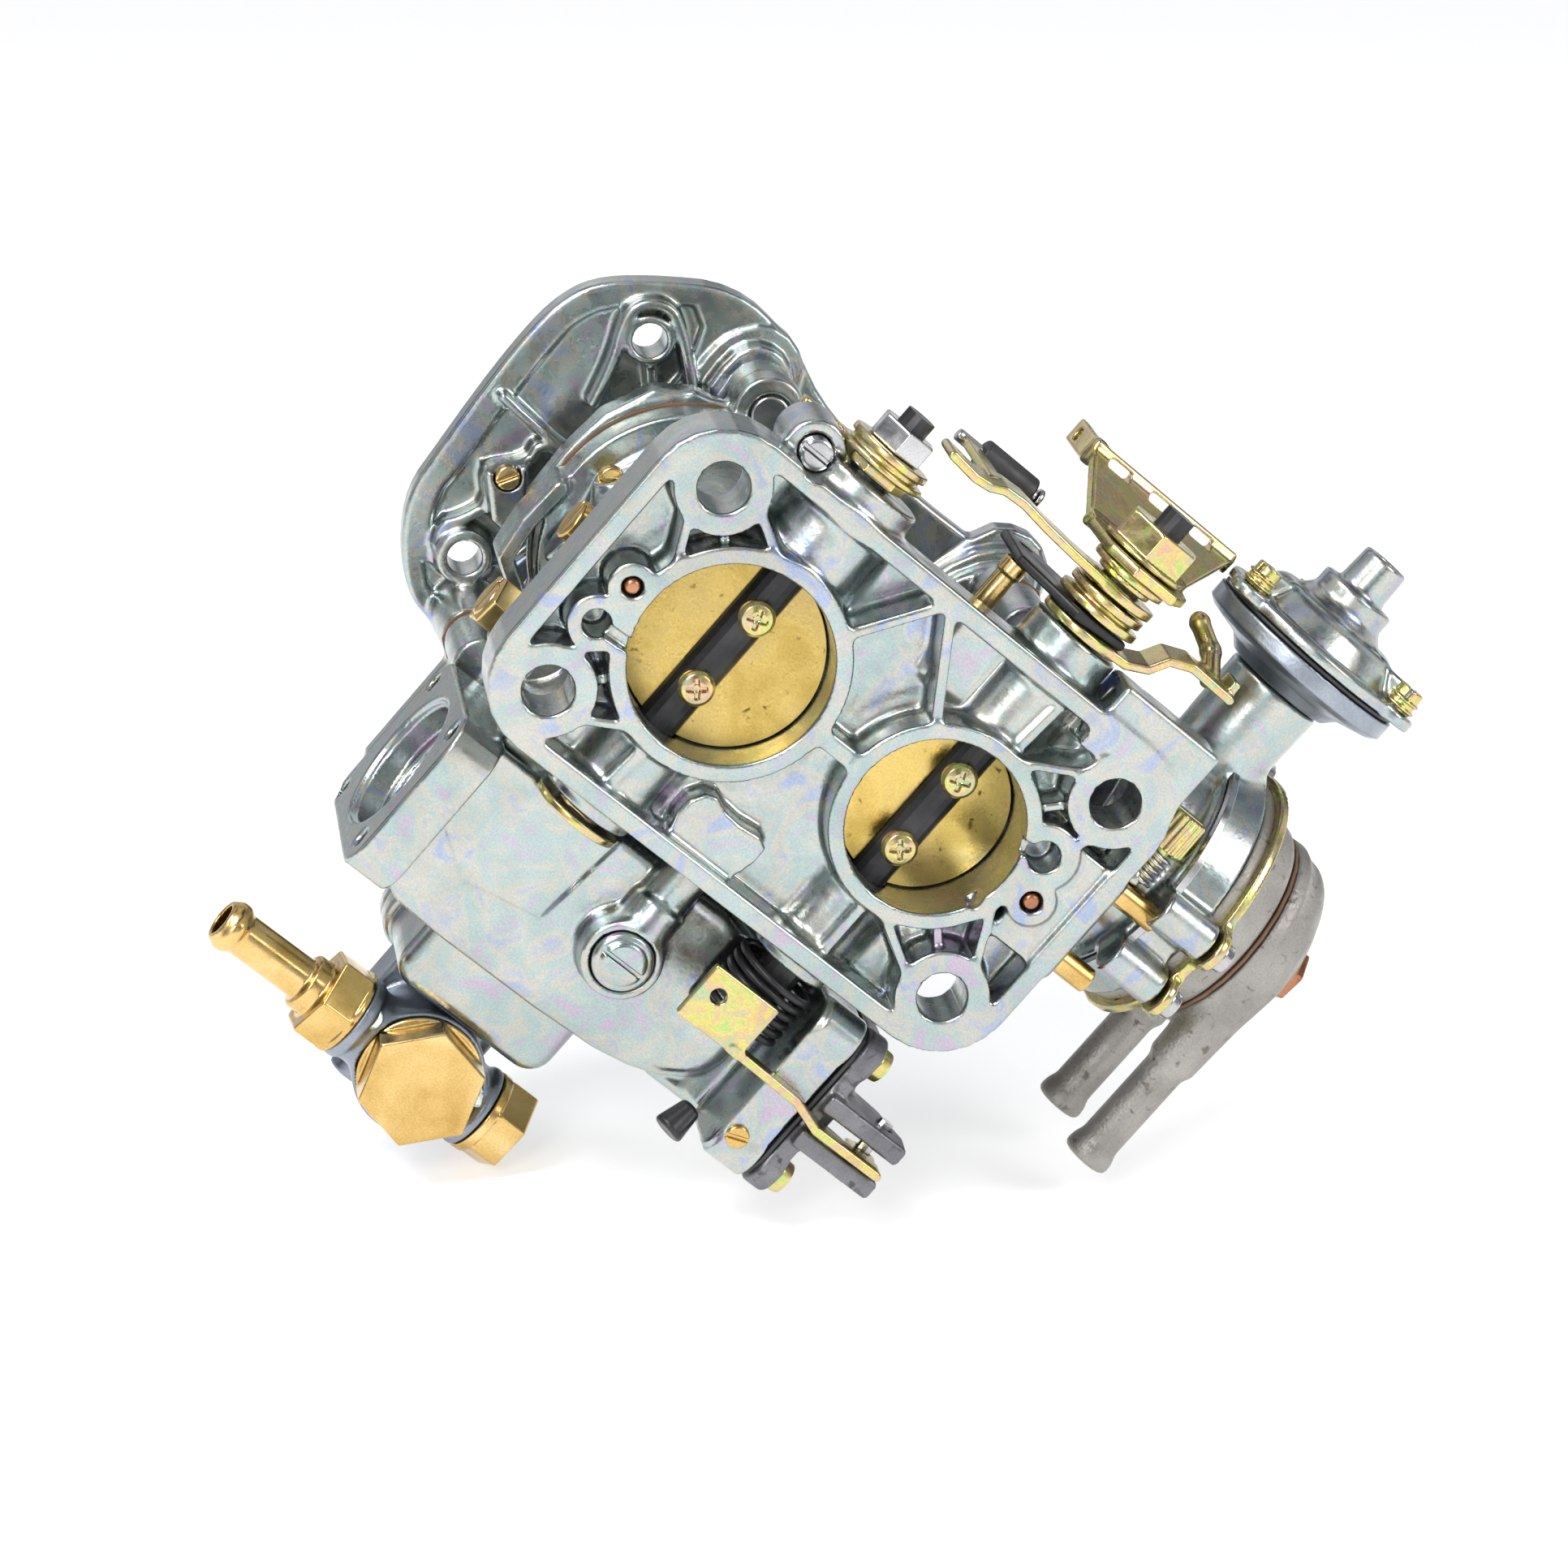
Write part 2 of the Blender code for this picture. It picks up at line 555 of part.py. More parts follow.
def throttle_shaft(name, bore_x, start_y, end_y, thread_y, tilt, carrier):
    """Shaft with a slot for its plate, two screw holes and a threaded end."""
    solids = [rod((bore_x, thread_y, SHAFT_Z), (bore_x, end_y, SHAFT_Z), SHAFT_R, 18),
              rod((bore_x, start_y, SHAFT_Z), (bore_x, thread_y + 1, SHAFT_Z), 2.9, 14)]
    cuts = [tilted_box(bore_x, 12.0, 39.0, PLATE_THICKNESS + 2 * GAP, tilt)]
    for spot_y in (-8.0, 8.0):
        cuts.append(rod((bore_x, spot_y, 0), (bore_x, spot_y, 24), 1.8, 10))
    piece(name, combined(solids, cuts), "black_steel", carrier)


def nut(name, bore_x, low_y, high_y, across_flats, hole_r, finish, carrier):
    body = hexagon((bore_x, low_y, SHAFT_Z), (bore_x, high_y, SHAFT_Z), across_flats, 0.3)
    hole = rod((bore_x, low_y - 1, SHAFT_Z), (bore_x, high_y + 1, SHAFT_Z), hole_r, 14)
    piece(name, combined([body], [hole]), finish, carrier)


def throttle_lever(carrier):
    """Cable lever: a hub plate that flares outward to a folded top edge with a side tab."""
    hub = [(15.0, 5.0), (20.0, 0.5), (29.0, 1.0), (34.0, 10.0), (36.0, 22.0), (14.0, 22.0)]
    base = prism(hub, "Y", -57.4, -55.4)
    flare = quad_plate([(14.0, -55.4, 21.0), (36.0, -55.4, 21.0), (47.0, -63.4, 41.0),
                        (13.0, -63.4, 41.0)], 2.0)
    top = box((12.6, -67.2, 40.0), (47.2, -62.6, 42.0))
    tab = box((12.6, -66.6, 41.0), (14.6, -61.6, 56.0))
    hole = rod((PRIMARY_X, -60, SHAFT_Z), (PRIMARY_X, -50, SHAFT_Z), 3.2, 14)
    slots = [box((x, -66.2, 38.0), (x + 6.0, -64.6, 44.0)) for x in (17.0, 26.0, 37.0)]
    piece("throttle_lever", combined([base, flare, top, tab], [hole] + slots), "yellow_zinc", carrier)


def quad_plate(corners, thickness):
    """A flat four-cornered plate, thickened towards -Y."""
    bm = bmesh.new()
    near = [bm.verts.new(c) for c in corners]
    far = [bm.verts.new((c[0], c[1] - thickness, c[2])) for c in corners]
    bm.faces.new(near)
    bm.faces.new(far[::-1])
    for step in range(4):
        after = (step + 1) % 4
        bm.faces.new([near[step], near[after], far[after], far[step]])
    return mesh_from(bm)


def primary_throttle():
    carrier = pivot("primary_throttle_axis", PRIMARY_AXIS)
    tilt = CLOSED_TILT_DEG
    throttle_shaft("primary_shaft", PRIMARY_X, -68.0, 52.0, -54.9, tilt, carrier)
    throttle_plate("primary_plate", PRIMARY_X, PRIMARY_BORE_R, tilt, carrier)
    plate_screws("primary", PRIMARY_X, carrier)
    throttle_lever(carrier)
    nut("throttle_nut", PRIMARY_X, -63.0, -57.7, 12.0, 3.2, "yellow_zinc", carrier)
    profile = [(7.5, -55.1), (7.5, -53.6), (5.6, -53.6), (5.6, -52.4), (4.3, -52.4), (4.3, -55.1)]
    piece("throttle_bush", turned(profile, Y_AXIS, (PRIMARY_X, 0, SHAFT_Z), 20), "yellow_zinc", carrier)
    outline = [(7.0, 14.0), (7.0, 31.0), (13.0, 31.0), (30.0, 18.5), (30.0, 7.0), (18.0, 3.0)]
    plate = combined([prism(outline, "Y", -44.9, -43.1)],
                     [rod((PRIMARY_X, -46, SHAFT_Z), (PRIMARY_X, -40, SHAFT_Z), 4.3, 16)])
    piece("idle_stop_plate", plate, "black_steel", carrier)


def secondary_throttle():
    carrier = pivot("secondary_throttle_axis", SECONDARY_AXIS)
    tilt = -CLOSED_TILT_DEG
    throttle_shaft("secondary_shaft", SECONDARY_X, -52.5, 38.0, -43.0, tilt, carrier)
    throttle_plate("secondary_plate", SECONDARY_X, SECONDARY_BORE_R, tilt, carrier)
    plate_screws("secondary", SECONDARY_X, carrier)
    outline = [(-17.7, 10.0), (-18.5, 16.0), (-22.0, 20.5), (-28.0, 27.5), (-38.0, 27.5), (-38.0, 23.4),
               (-29.7, 23.4), (-29.7, 10.0), (-27.0, 6.6), (-21.0, 6.3)]
    arm = prism(outline, "Y", -41.2, -39.2)
    foot = box((-38.4, -41.2, 23.5), (-31.0, -33.0, 25.4))
    hole = rod((SECONDARY_X, -46, SHAFT_Z), (SECONDARY_X, -36, SHAFT_Z), 4.3, 16)
    piece("secondary_lever", combined([arm, foot], [hole]), "yellow_zinc", carrier)
    nut("secondary_nut", SECONDARY_X, -50.0, -45.0, 9.5, 3.2, "bright_steel", carrier)


def loose_levers():
    """Levers that turn freely on the primary shaft."""
    carrier = pivot("progression_lever_axis", PRIMARY_AXIS)
    hub = rod((PRIMARY_X, -51.7, SHAFT_Z), (PRIMARY_X, -49.9, SHAFT_Z), 8.5, 20)
    path = [(PRIMARY_X, -50.8), (7.0, -51.6), (-4.5, -53.0), (-9.5, -50.6), (-17.0, -51.4)]
    arm = strip(path, "Z", 5.0, 14.0, 1.8)
    hole = rod((PRIMARY_X, -53, SHAFT_Z), (PRIMARY_X, -49, SHAFT_Z), 4.3, 16)
    piece("progression_lever", combined([hub, arm], [hole]), "yellow_zinc", carrier)
    carrier = pivot("fast_idle_lever_axis", PRIMARY_AXIS)
    path = [(PRIMARY_X, -41.8), (34.5, -42.4), (38.5, -49.4), (50.5, -49.0)]
    arm = strip(path, "Z", 5.0, 14.0, 1.8)
    hub = rod((PRIMARY_X, -42.7, SHAFT_Z), (PRIMARY_X, -40.9, SHAFT_Z), 8.0, 20)
    hook = swept([(47.5, -48.6, 10.0), (47.5, -52.0, 10.0), (46.5, -55.0, 12.0), (44.0, -56.5, 16.0),
                  (42.0, -55.0, 20.0)], 1.8)
    hole = rod((PRIMARY_X, -44, SHAFT_Z), (PRIMARY_X, -39, SHAFT_Z), 4.3, 16)
    piece("fast_idle_lever", combined([hub, arm, hook], [hole]), "yellow_zinc", carrier)


def shaft_hardware():
    """Fixed seals, spacers, springs and end caps on the throttle shafts."""
    piece("primary_spacer", ring(Y_AXIS, (PRIMARY_X, 0, SHAFT_Z), 6.5, 4.3, -49.5, -45.2, 20),
          "bright_steel")
    cap = turned([(0.0, 0.0), (8.6, 0.0), (8.6, 1.6), (0.0, 1.6)], Y_AXIS,
                 (SECONDARY_X, 38.3, SHAFT_Z), 22)
    piece("secondary_end_cap", cap, "yellow_zinc")
    coil = swept(helix((PRIMARY_X, SHAFT_Z), 7.6, 38.6, 50.5, 6.0), 0.75, 5)
    piece("throttle_spring", coil, "black_steel")


# ---- adjusting screws ----
def adjusting_screws():
    carrier = pivot("idle_screw_axis", (9.5, -36.0, 20.5))
    stem = rod((9.5, -42.8, 20.5), (9.5, -18.5, 20.5), 2.5, 12)
    piece("idle_screw", stem, "brass", carrier)
    carrier = pivot("mixture_screw_axis", (61.6, -22.0, 10.0))
    head = rod((61.6, -28.5, 10.0), (61.6, -21.0, 10.0), 3.9, 16)
    stem = rod((61.6, -21.5, 10.0), (61.6, -13.3, 10.0), 1.6, 10)
    piece("mixture_screw", combined([head, stem]), "yellow_zinc", carrier)
    stem = rod((-35.0, -36.5, 6.5), (-35.0, -36.5, 22.9), 3.0, 14)
    piece("secondary_stop_screw", stem, "yellow_zinc")


# ---- float chamber ----
def float_set():
    carrier = pivot("float_axis", FLOAT_PIVOT)
    pontoon = prism(rounded_rectangle(23.0, 9.5, 5.0, 2, (-14.0, 55.0)), "Z", 31.0, 52.0)
    arm = box((-7.0, 62.0, 50.0), (-1.0, 80.0, 53.0))
    riser = box((-7.0, 77.0, 50.0), (-1.0, 80.5, 65.5))
    barrel = rod((-9.0, FLOAT_PIVOT[1], FLOAT_PIVOT[2]), (1.0, FLOAT_PIVOT[1], FLOAT_PIVOT[2]), 2.4, 12)
    hole = rod((-11.0, FLOAT_PIVOT[1], FLOAT_PIVOT[2]), (3.0, FLOAT_PIVOT[1], FLOAT_PIVOT[2]), 1.3, 10)
    piece("float", combined([pontoon, arm, riser, barrel], [hole]), "float_plastic", carrier)
    piece("float_pin", rod((-14.0, *FLOAT_PIVOT[1:]), (6.0, *FLOAT_PIVOT[1:]), 1.0, 10), "bright_steel")
    needle = turned([(0.0, 67.8), (2.4, 67.8), (2.4, 71.6), (0.0, 73.2)], Z_AXIS, (INLET_X, 82.0, 0), 12)
    piece("needle_valve", needle, "brass")


# ---- venturis and jets ----
def booster(name, bore_x, bore_r):
    """Booster venturi: a small flared tube held by one arm."""
    profile = [(8.6, 40.0), (8.0, 52.0), (6.4, 55.0), (5.2, 52.0), (4.4, 47.0), (6.0, 40.0)]
    tube = turned(profile, Z_AXIS, (bore_x, 0, 0), 16)
    arm = box((bore_x - 2.2, 7.0, 45.0), (bore_x + 2.2, bore_r - 0.7, 51.0))
    piece(name, combined([tube, arm]), "cast_zinc")


def body_plugs():
    """Plugs and jet holders screwed into the body."""
    slot = box((-6.5, 54.3, 8.0), (6.5, 55.7, 10.2))
    piece("bowl_plug", combined([rod((0, 55, 9.0), (0, 55, 16.5), 5.5, 24)], [slot]), "bright_steel")
    piece("brass_plug", combined([rod((-54.5, 2, 30), (-51.4, 2, 30), 4.0, 16),
                                  rod((-51.6, 2, 30), (-43.0, 2, 30), 2.6, 10)]), "brass")
    holder = combined([rod((-53.0, 25, 45), (-48.4, 25, 45), 4.6, 16),
                       rod((-48.6, 25, 45), (-39.5, 25, 45), 3.0, 12)],
                      [box((-54.0, 24.4, 40.0), (-51.8, 25.6, 50.0))])
    piece("idle_jet_holder", holder, "brass")
    for number, (tube_y, tip_x) in enumerate(((-10.0, 67.0), (6.0, 65.0)), 1):
        profile = [(2.5, 0.0), (2.5, tip_x - 47.5), (1.5, tip_x - 47.5), (1.5, 0.0)]
        tube = turned(profile, X_AXIS, (47.5, tube_y, 8.0), 12)
        piece(f"vacuum_tube_{number}", tube, "brass")


# ---- fuel inlet ----
def fuel_inlet():
    """Cast inlet block with its filter plug, hose barb and blanking plug."""
    centre = (INLET_X, INLET_Y, INLET_Z)
    solids = [rod((INLET_X, INLET_Y, 41.3), (INLET_X, INLET_Y, 68.5), 11.5, 18),
              rod((-20.5, INLET_Y, INLET_Z), (9.5, INLET_Y, INLET_Z), 7.5, 14)]
    cuts = [rod((INLET_X, INLET_Y, 40), (INLET_X, INLET_Y, 62), 6.6, 14),
            rod((INLET_X, INLET_Y, 30), (INLET_X, INLET_Y, 41.3), 11.8, 18),
            rod((-22, INLET_Y, INLET_Z), (-8, INLET_Y, INLET_Z), 4.4, 14),
            rod((11, INLET_Y, INLET_Z), (0, INLET_Y, INLET_Z), 4.4, 14)]
    piece("fuel_inlet_block", combined(solids, cuts), "dark_cast")
    cap = combined([hexagon((INLET_X, INLET_Y, 41.0), (INLET_X, INLET_Y, 34.5), 19.0, 0.38),
                    rod((INLET_X, INLET_Y, 40.0), (INLET_X, INLET_Y, 60.0), 6.2, 16)],
                   [rod((INLET_X, INLET_Y, 44.0), (INLET_X, INLET_Y, 61.0), 4.8, 14)])
    piece("filter_plug", cap, "brass")
    barb_profile = [(0.0, 0.0), (4.0, 0.0), (4.0, 12.3), (3.9, 29.0), (4.8, 31.5), (4.8, 33.5),
                    (3.9, 36.0), (3.9, 37.5), (3.4, 38.0), (0.0, 38.0)]
    barb = combined([turned(barb_profile, (-1, 0, 0), (-12.5, INLET_Y, INLET_Z), 14),
                     hexagon((-20.8, INLET_Y, INLET_Z), (-28.5, INLET_Y, INLET_Z), 16.0)],
                    [rod((-10, INLET_Y, INLET_Z), (-52, INLET_Y, INLET_Z), 2.6, 12)])
    piece("hose_barb", barb, "brass")
    plug = combined([hexagon((10.6, INLET_Y, INLET_Z), (18.0, INLET_Y, INLET_Z), 15.0),
                     ring(X_AXIS, centre, 8.0, 3.0, 9.8 - INLET_X, 10.9 - INLET_X, 20),
                     rod((2.0, INLET_Y, INLET_Z), (11.0, INLET_Y, INLET_Z), 4.0, 14)])
    piece("inlet_plug", plug, "brass")


# ---- accelerator pump ----
def accelerator_pump():
    outline = rounded_rectangle(17.5, 17.5, 5.0, 2, (PUMP_Y, PUMP_Z))
    face = prism(outline, "X", 42.3, 43.0)
    screw_spots = [(PUMP_Y + sy * 13.5, PUMP_Z + sz * 13.5) for sy in (-1, 1) for sz in (-1, 1)]
    holes = [rod((41.0, y, z), (53.0, y, z), 2.5, 10) for y, z in screw_spots]
    piece("pump_diaphragm", combined([face], holes), "black_rubber")
    cover = [prism(outline, "X", 43.3, 47.0),
             rod((46.0, PUMP_Y, PUMP_Z), (50.5, PUMP_Y, PUMP_Z), 12.5, 20, 10.5)]
    ears = [prism([(46.0, 3.0), (58.0, 3.0), (62.0, 6.0), (62.0, 12.0), (58.0, 15.0), (46.0, 19.0)],
                  "Y", low, high) for low, high in ((49.6, 53.3), (57.7, 61.4))]
    cuts = holes + [rod((43.0, PUMP_Y, PUMP_Z), (49.0, PUMP_Y, PUMP_Z), 9.0, 20),
                    rod((47.0, PUMP_Y, PUMP_Z), (52.0, PUMP_Y, PUMP_Z), 2.6, 12),
                    rod((57.0, 48.0, 9.0), (57.0, 63.0, 9.0), 1.8, 12)]
    piece("pump_cover", combined(cover + ears, cuts), "dark_cast")
    carrier = pivot("pump_lever_axis", PUMP_PIVOT)
    arm = strip([(23.0, 53.6), (39.0, 54.2), (45.0, 56.2), (59.5, 56.2)], "Z", 1.0, 5.1, 1.8)
    head = prism([(52.6, 1.1), (59.4, 1.1), (60.6, 5.0), (60.6, 11.0), (58.0, 13.0), (56.0, 25.0),
                  (52.6, 25.0)], "Y", 55.4, 57.0)
    tab = box((10.5, 43.0, 1.1), (25.0, 54.4, 2.9))
    hole = rod((PUMP_PIVOT[0], 50, PUMP_PIVOT[2]), (PUMP_PIVOT[0], 60, PUMP_PIVOT[2]), 1.8, 12)
    piece("pump_lever", combined([arm, head, tab], [hole]), "yellow_zinc", carrier)
    piece("pump_pin", rod((57.0, 48.6, 9.0), (57.0, 62.4, 9.0), 1.5, 12), "bright_steel")
    piece("pump_plunger", rod((46.3, PUMP_Y, PUMP_Z), (52.3, PUMP_Y, PUMP_Z), 2.2, 12), "bright_steel")
    for number, (y, z) in enumerate(screw_spots, 1):
        head = turned([(0, 47.3), (3.4, 47.3), (3.4, 48.4), (2.2, 49.8), (0, 49.8)], X_AXIS, (0, y, z), 12)
        piece(f"pump_screw_{number}", combined([head, rod((42.6, y, z), (47.5, y, z), 2.0, 10)]),
              "yellow_zinc")


# ---- automatic choke ----
def automatic_choke():
    centre = (0.0, CHOKE_Y, CHOKE_Z)
    shell = turned([(16.5, 49.6), (18.0, 50.4), (18.0, 67.4), (24.0, 69.6), (25.5, 71.5), (25.5, 76.0),
                    (22.5, 76.0), (21.0, 71.5), (6.0, 66.0), (6.0, 49.6)], X_AXIS, centre, 28)
    arm = rod((PULLDOWN_X, -30.0, CHOKE_Z), (PULLDOWN_X, -53.7, CHOKE_Z), 9.0, 18)
    arm_bore = rod((PULLDOWN_X, -30.0, CHOKE_Z), (PULLDOWN_X, -55.0, CHOKE_Z), 4.0, 12)
    chamber = turned([(0, 71.4), (20.9, 71.4), (22.0, 77.0), (0, 77.0)], X_AXIS, centre, 28)
    piece("choke_housing", combined([shell, arm], [arm_bore, chamber]), "cast_zinc")
    cover = turned([(0, 84.5), (0, 88.0), (19.0, 88.0), (24.5, 84.0), (24.5, 76.3), (21.5, 76.3),
                    (21.5, 84.5)], X_AXIS, centre, 26)
    piece("bimetal_cover", cover, "rough_cast")
    band = ring(X_AXIS, centre, 26.4, 24.9, 78.6, 80.4, 28)
    lugs = [rod((78.6, CHOKE_Y + 28.4 * math.cos(a), CHOKE_Z + 28.4 * math.sin(a)),
                (80.4, CHOKE_Y + 28.4 * math.cos(a), CHOKE_Z + 28.4 * math.sin(a)), 3.0, 12)
            for a in (math.radians(-88), math.radians(-60), math.radians(150))]
    piece("retaining_ring", combined([band] + lugs), "yellow_zinc")
    piece("jacket_gasket", ring(X_AXIS, centre, 20.2, 4.4, 88.3, 89.0, 24), "gasket")
    dome = turned([(20.0, 89.3), (20.0, 94.0), (18.0, 99.0), (13.0, 102.5), (8.0, 103.8), (4.4, 103.8),
                   (4.4, 89.3)], X_AXIS, centre, 24)
    pipes = [rod((94.5, CHOKE_Y + 4.0, z), (94.5, 33.0, z), 3.9, 12) for z in (19.0, 45.0)]
    beads = [turned([(0, 29.5), (3.9, 29.5), (4.7, 31.0), (4.7, 33.0), (3.9, 34.0), (0, 34.0)], Y_AXIS,
                    (94.5, 0, z), 12) for z in (19.0, 45.0)]
    bores = [rod((94.5, 10.0, z), (94.5, 35.0, z), 2.7, 10) for z in (19.0, 45.0)]
    piece("water_jacket", combined([dome] + pipes + beads, bores), "rough_cast")
    bolt = combined([hexagon((104.1, CHOKE_Y, CHOKE_Z), (108.5, CHOKE_Y, CHOKE_Z), 13.0),
                     rod((88.4, CHOKE_Y, CHOKE_Z), (104.5, CHOKE_Y, CHOKE_Z), 4.0, 14)])
    piece("jacket_bolt", bolt, "yellow_zinc")


def pulldown():
    """Vacuum pull-down unit on the choke housing's side arm."""
    centre = (PULLDOWN_X, 0.0, CHOKE_Z)
    back = (0, -1, 0)
    lower = turned([(4.0, 54.0), (12.0, 54.0), (19.0, 58.0), (20.0, 59.0), (20.0, 62.0), (16.0, 62.0),
                    (4.0, 57.0)], back, centre, 24)
    piece("pulldown_body", lower, "dark_cast")
    cover = turned([(20.0, 63.1), (20.0, 65.0), (16.0, 66.0), (13.0, 70.5), (8.0, 72.0), (7.5, 76.0),
                    (4.8, 76.5), (4.8, 83.6), (0.0, 83.6), (0.0, 74.0), (10.0, 69.0), (14.0, 63.1)],
                   back, centre, 24)
    ears = []
    for angle in (math.radians(200), math.radians(320), math.radians(90)):
        spot_x = PULLDOWN_X + 19.5 * math.cos(angle)
        spot_z = CHOKE_Z + 19.5 * math.sin(angle)
        ears.append(rod((spot_x, -65.0, spot_z), (spot_x, -63.1, spot_z), 4.2, 10))
    piece("pulldown_cover", combined([cover] + ears), "cast_zinc")


def choke_flaps():
    """Strangler shaft with its two flaps, its lever and the rod from the choke unit."""
    carrier = pivot("choke_axis", (0.0, 0.0, CHOKE_SHAFT_Z))
    shaft = rod((-46.0, 0, CHOKE_SHAFT_Z), (56.0, 0, CHOKE_SHAFT_Z), 3.0, 14)
    slots = [box((x - r - 0.5, -6.0, CHOKE_SHAFT_Z - 0.8), (x + r + 0.5, 6.0, CHOKE_SHAFT_Z + 0.8))
             for x, r in ((SECONDARY_X, 18.7), (PRIMARY_X, 17.2))]
    lever = prism([(-4.0, 77.0), (3.0, 76.0), (12.0, 79.0), (13.0, 82.0), (3.0, 84.0), (-4.0, 83.0)],
                  "X", 53.0, 54.6)
    piece("choke_shaft", combined([shaft, lever], slots), "bright_steel", carrier)
    for name, flap_x, flap_r in (("choke_flap_secondary", SECONDARY_X, 18.4),
                                 ("choke_flap_primary", PRIMARY_X, 16.9)):
        disc = rod((flap_x, 0, CHOKE_SHAFT_Z - 0.5), (flap_x, 0, CHOKE_SHAFT_Z + 0.5), flap_r, 32)
        piece(name, disc, "plate_brass", carrier)
    path = [(56.8, 10.0, 80.0), (56.8, 10.0, 62.0), (56.8, 6.0, 57.0)]
    piece("choke_rod", swept(path, 1.1, 8), "bright_steel")


def build():
    clear_scene()
    main_body()
    cover_gasket()
    air_horn()
    primary_throttle()
    secondary_throttle()
    loose_levers()
    shaft_hardware()
    adjusting_screws()
    float_set()
    booster("booster_secondary", SECONDARY_X, SECONDARY_BORE_R)
    booster("booster_primary", PRIMARY_X, PRIMARY_BORE_R)
    body_plugs()
    fuel_inlet()
    accelerator_pump()
    automatic_choke()
    pulldown()
    choke_flaps()


build()
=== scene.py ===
"""Looks of the twin-choke carburettor: fine castings, hardware and finishes round the CAD frame.

Castings and fittings are sampled distance fields, so every joint has its fillet and every edge its
small radius. All lengths are millimetres in the row frame until a mesh is made.
"""
import math
from collections import namedtuple
from itertools import product

import bpy
import numpy as np
from mathutils import Matrix, Vector

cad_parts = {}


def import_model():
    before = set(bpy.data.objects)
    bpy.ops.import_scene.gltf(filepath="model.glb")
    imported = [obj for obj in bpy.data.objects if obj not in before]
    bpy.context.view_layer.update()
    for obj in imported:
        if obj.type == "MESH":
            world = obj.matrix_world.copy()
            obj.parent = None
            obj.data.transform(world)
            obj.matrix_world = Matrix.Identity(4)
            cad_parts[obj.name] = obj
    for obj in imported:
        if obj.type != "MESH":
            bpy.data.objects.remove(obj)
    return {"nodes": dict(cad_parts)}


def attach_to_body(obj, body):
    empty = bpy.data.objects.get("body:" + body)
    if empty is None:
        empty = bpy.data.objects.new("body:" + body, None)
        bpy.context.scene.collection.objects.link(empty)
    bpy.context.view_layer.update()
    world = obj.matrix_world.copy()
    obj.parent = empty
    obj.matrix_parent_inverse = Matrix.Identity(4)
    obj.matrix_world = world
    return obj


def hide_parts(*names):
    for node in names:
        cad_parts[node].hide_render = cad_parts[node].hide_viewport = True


MM = 0.001
SX, PX = -23.85, 23.45      # x of the secondary and primary bores
SHAFT_Z = 12                # height of both throttle shafts
STUDS = tuple(product((-45.5, 45.5), (-23, 23)))
DECK, COVER = 67.7, 68.9    # top of the main casting and underside of the horn, round the gasket
CHOKE = (-14, 32)           # y, z of the choke unit
RING_SCREWS = (-88, -60, 150)
PULLDOWN = (66, 32)         # x, z of the vacuum unit
PULLDOWN_EARS = (200, 320, 90)
PUMP = (55, 23)             # y, z of the pump
PUMP_CORNERS = tuple(product((41.5, 68.5), (9.5, 36.5)))
INLET = (-4.5, 102, 47)
DEEP_END = (-4.5, 76)       # x, y of the deep end of the bowl
SHARP = 30                  # degrees between faces that make an edge
SLOPE_STEP = 0.75           # cells on either side of a corner where its normal is read
PLATE_SIDES, WIRE_SIDES, COIL_STEPS = 128, 12, 28


# ---- distance shapes ----
# A signed distance over [x, y, z] grids, with the box that holds the solid.
Shape = namedtuple("Shape", "low high distance")


def shell_of(side, end, radius):
    """Distance to an extrusion from its outline's and its ends' distances, with rounded rims."""
    side = side + radius
    end = end + radius
    outside = np.sqrt(np.maximum(side, 0) ** 2 + np.maximum(end, 0) ** 2)
    return np.minimum(np.maximum(side, end), 0) + outside - radius


def line_square(u, v, pairs):
    """Square of the distance to the nearest of some straight lines."""
    best = None
    for (ax, ay), (bx, by) in pairs:
        ex, ey = bx - ax, by - ay
        along = np.clip(((u - ax) * ex + (v - ay) * ey) / (ex * ex + ey * ey), 0, 1)
        square = (u - ax - ex * along) ** 2 + (v - ay - ey * along) ** 2
        best = square if best is None else np.minimum(best, square)
    return best


def outline_distance(u, v, points):
    """Signed distance to a closed outline."""
    pairs = [(point, points[index - 1]) for index, point in enumerate(points)]
    inside = np.zeros(np.broadcast(u, v).shape, bool)
    for (ax, ay), (bx, by) in pairs:
        if ay != by:
            inside ^= ((ay > v) != (by > v)) & (u < (bx - ax) * (v - ay) / (by - ay) + ax)
    return np.where(inside, -1, 1) * np.sqrt(line_square(u, v, pairs))


def extruded(points, axis, low, high, grow, radius, side):
    """A flat figure drawn out along an axis: (x, y) for Z, (x, z) for Y and (y, z) for X."""
    a, b, c = {"X": (1, 2, 0), "Y": (0, 2, 1), "Z": (0, 1, 2)}[axis]
    middle, half = (low + high) / 2, (high - low) / 2

    def distance(p):
        return shell_of(side(p[a], p[b]), np.abs(p[c] - middle) - half, radius)

    lows, highs = [low] * 3, [high] * 3
    for i, k in ((a, 0), (b, 1)):
        lows[i], highs[i] = min(q[k] for q in points) - grow, max(q[k] for q in points) + grow
    return Shape(lows, highs, distance)


def slab(points, axis, low, high, radius=0.4):
    """A closed outline drawn out along an axis."""
    return extruded(points, axis, low, high, 0, radius, lambda u, v: outline_distance(u, v, points))


def fence(path, width, low, high, radius=0.5, axis="Z"):
    """A wall of one width that follows an open line."""
    pairs = list(zip(path[:-1], path[1:]))
    return extruded(path, axis, low, high, width, radius,
                    lambda u, v: np.sqrt(line_square(u, v, pairs)) - width / 2)


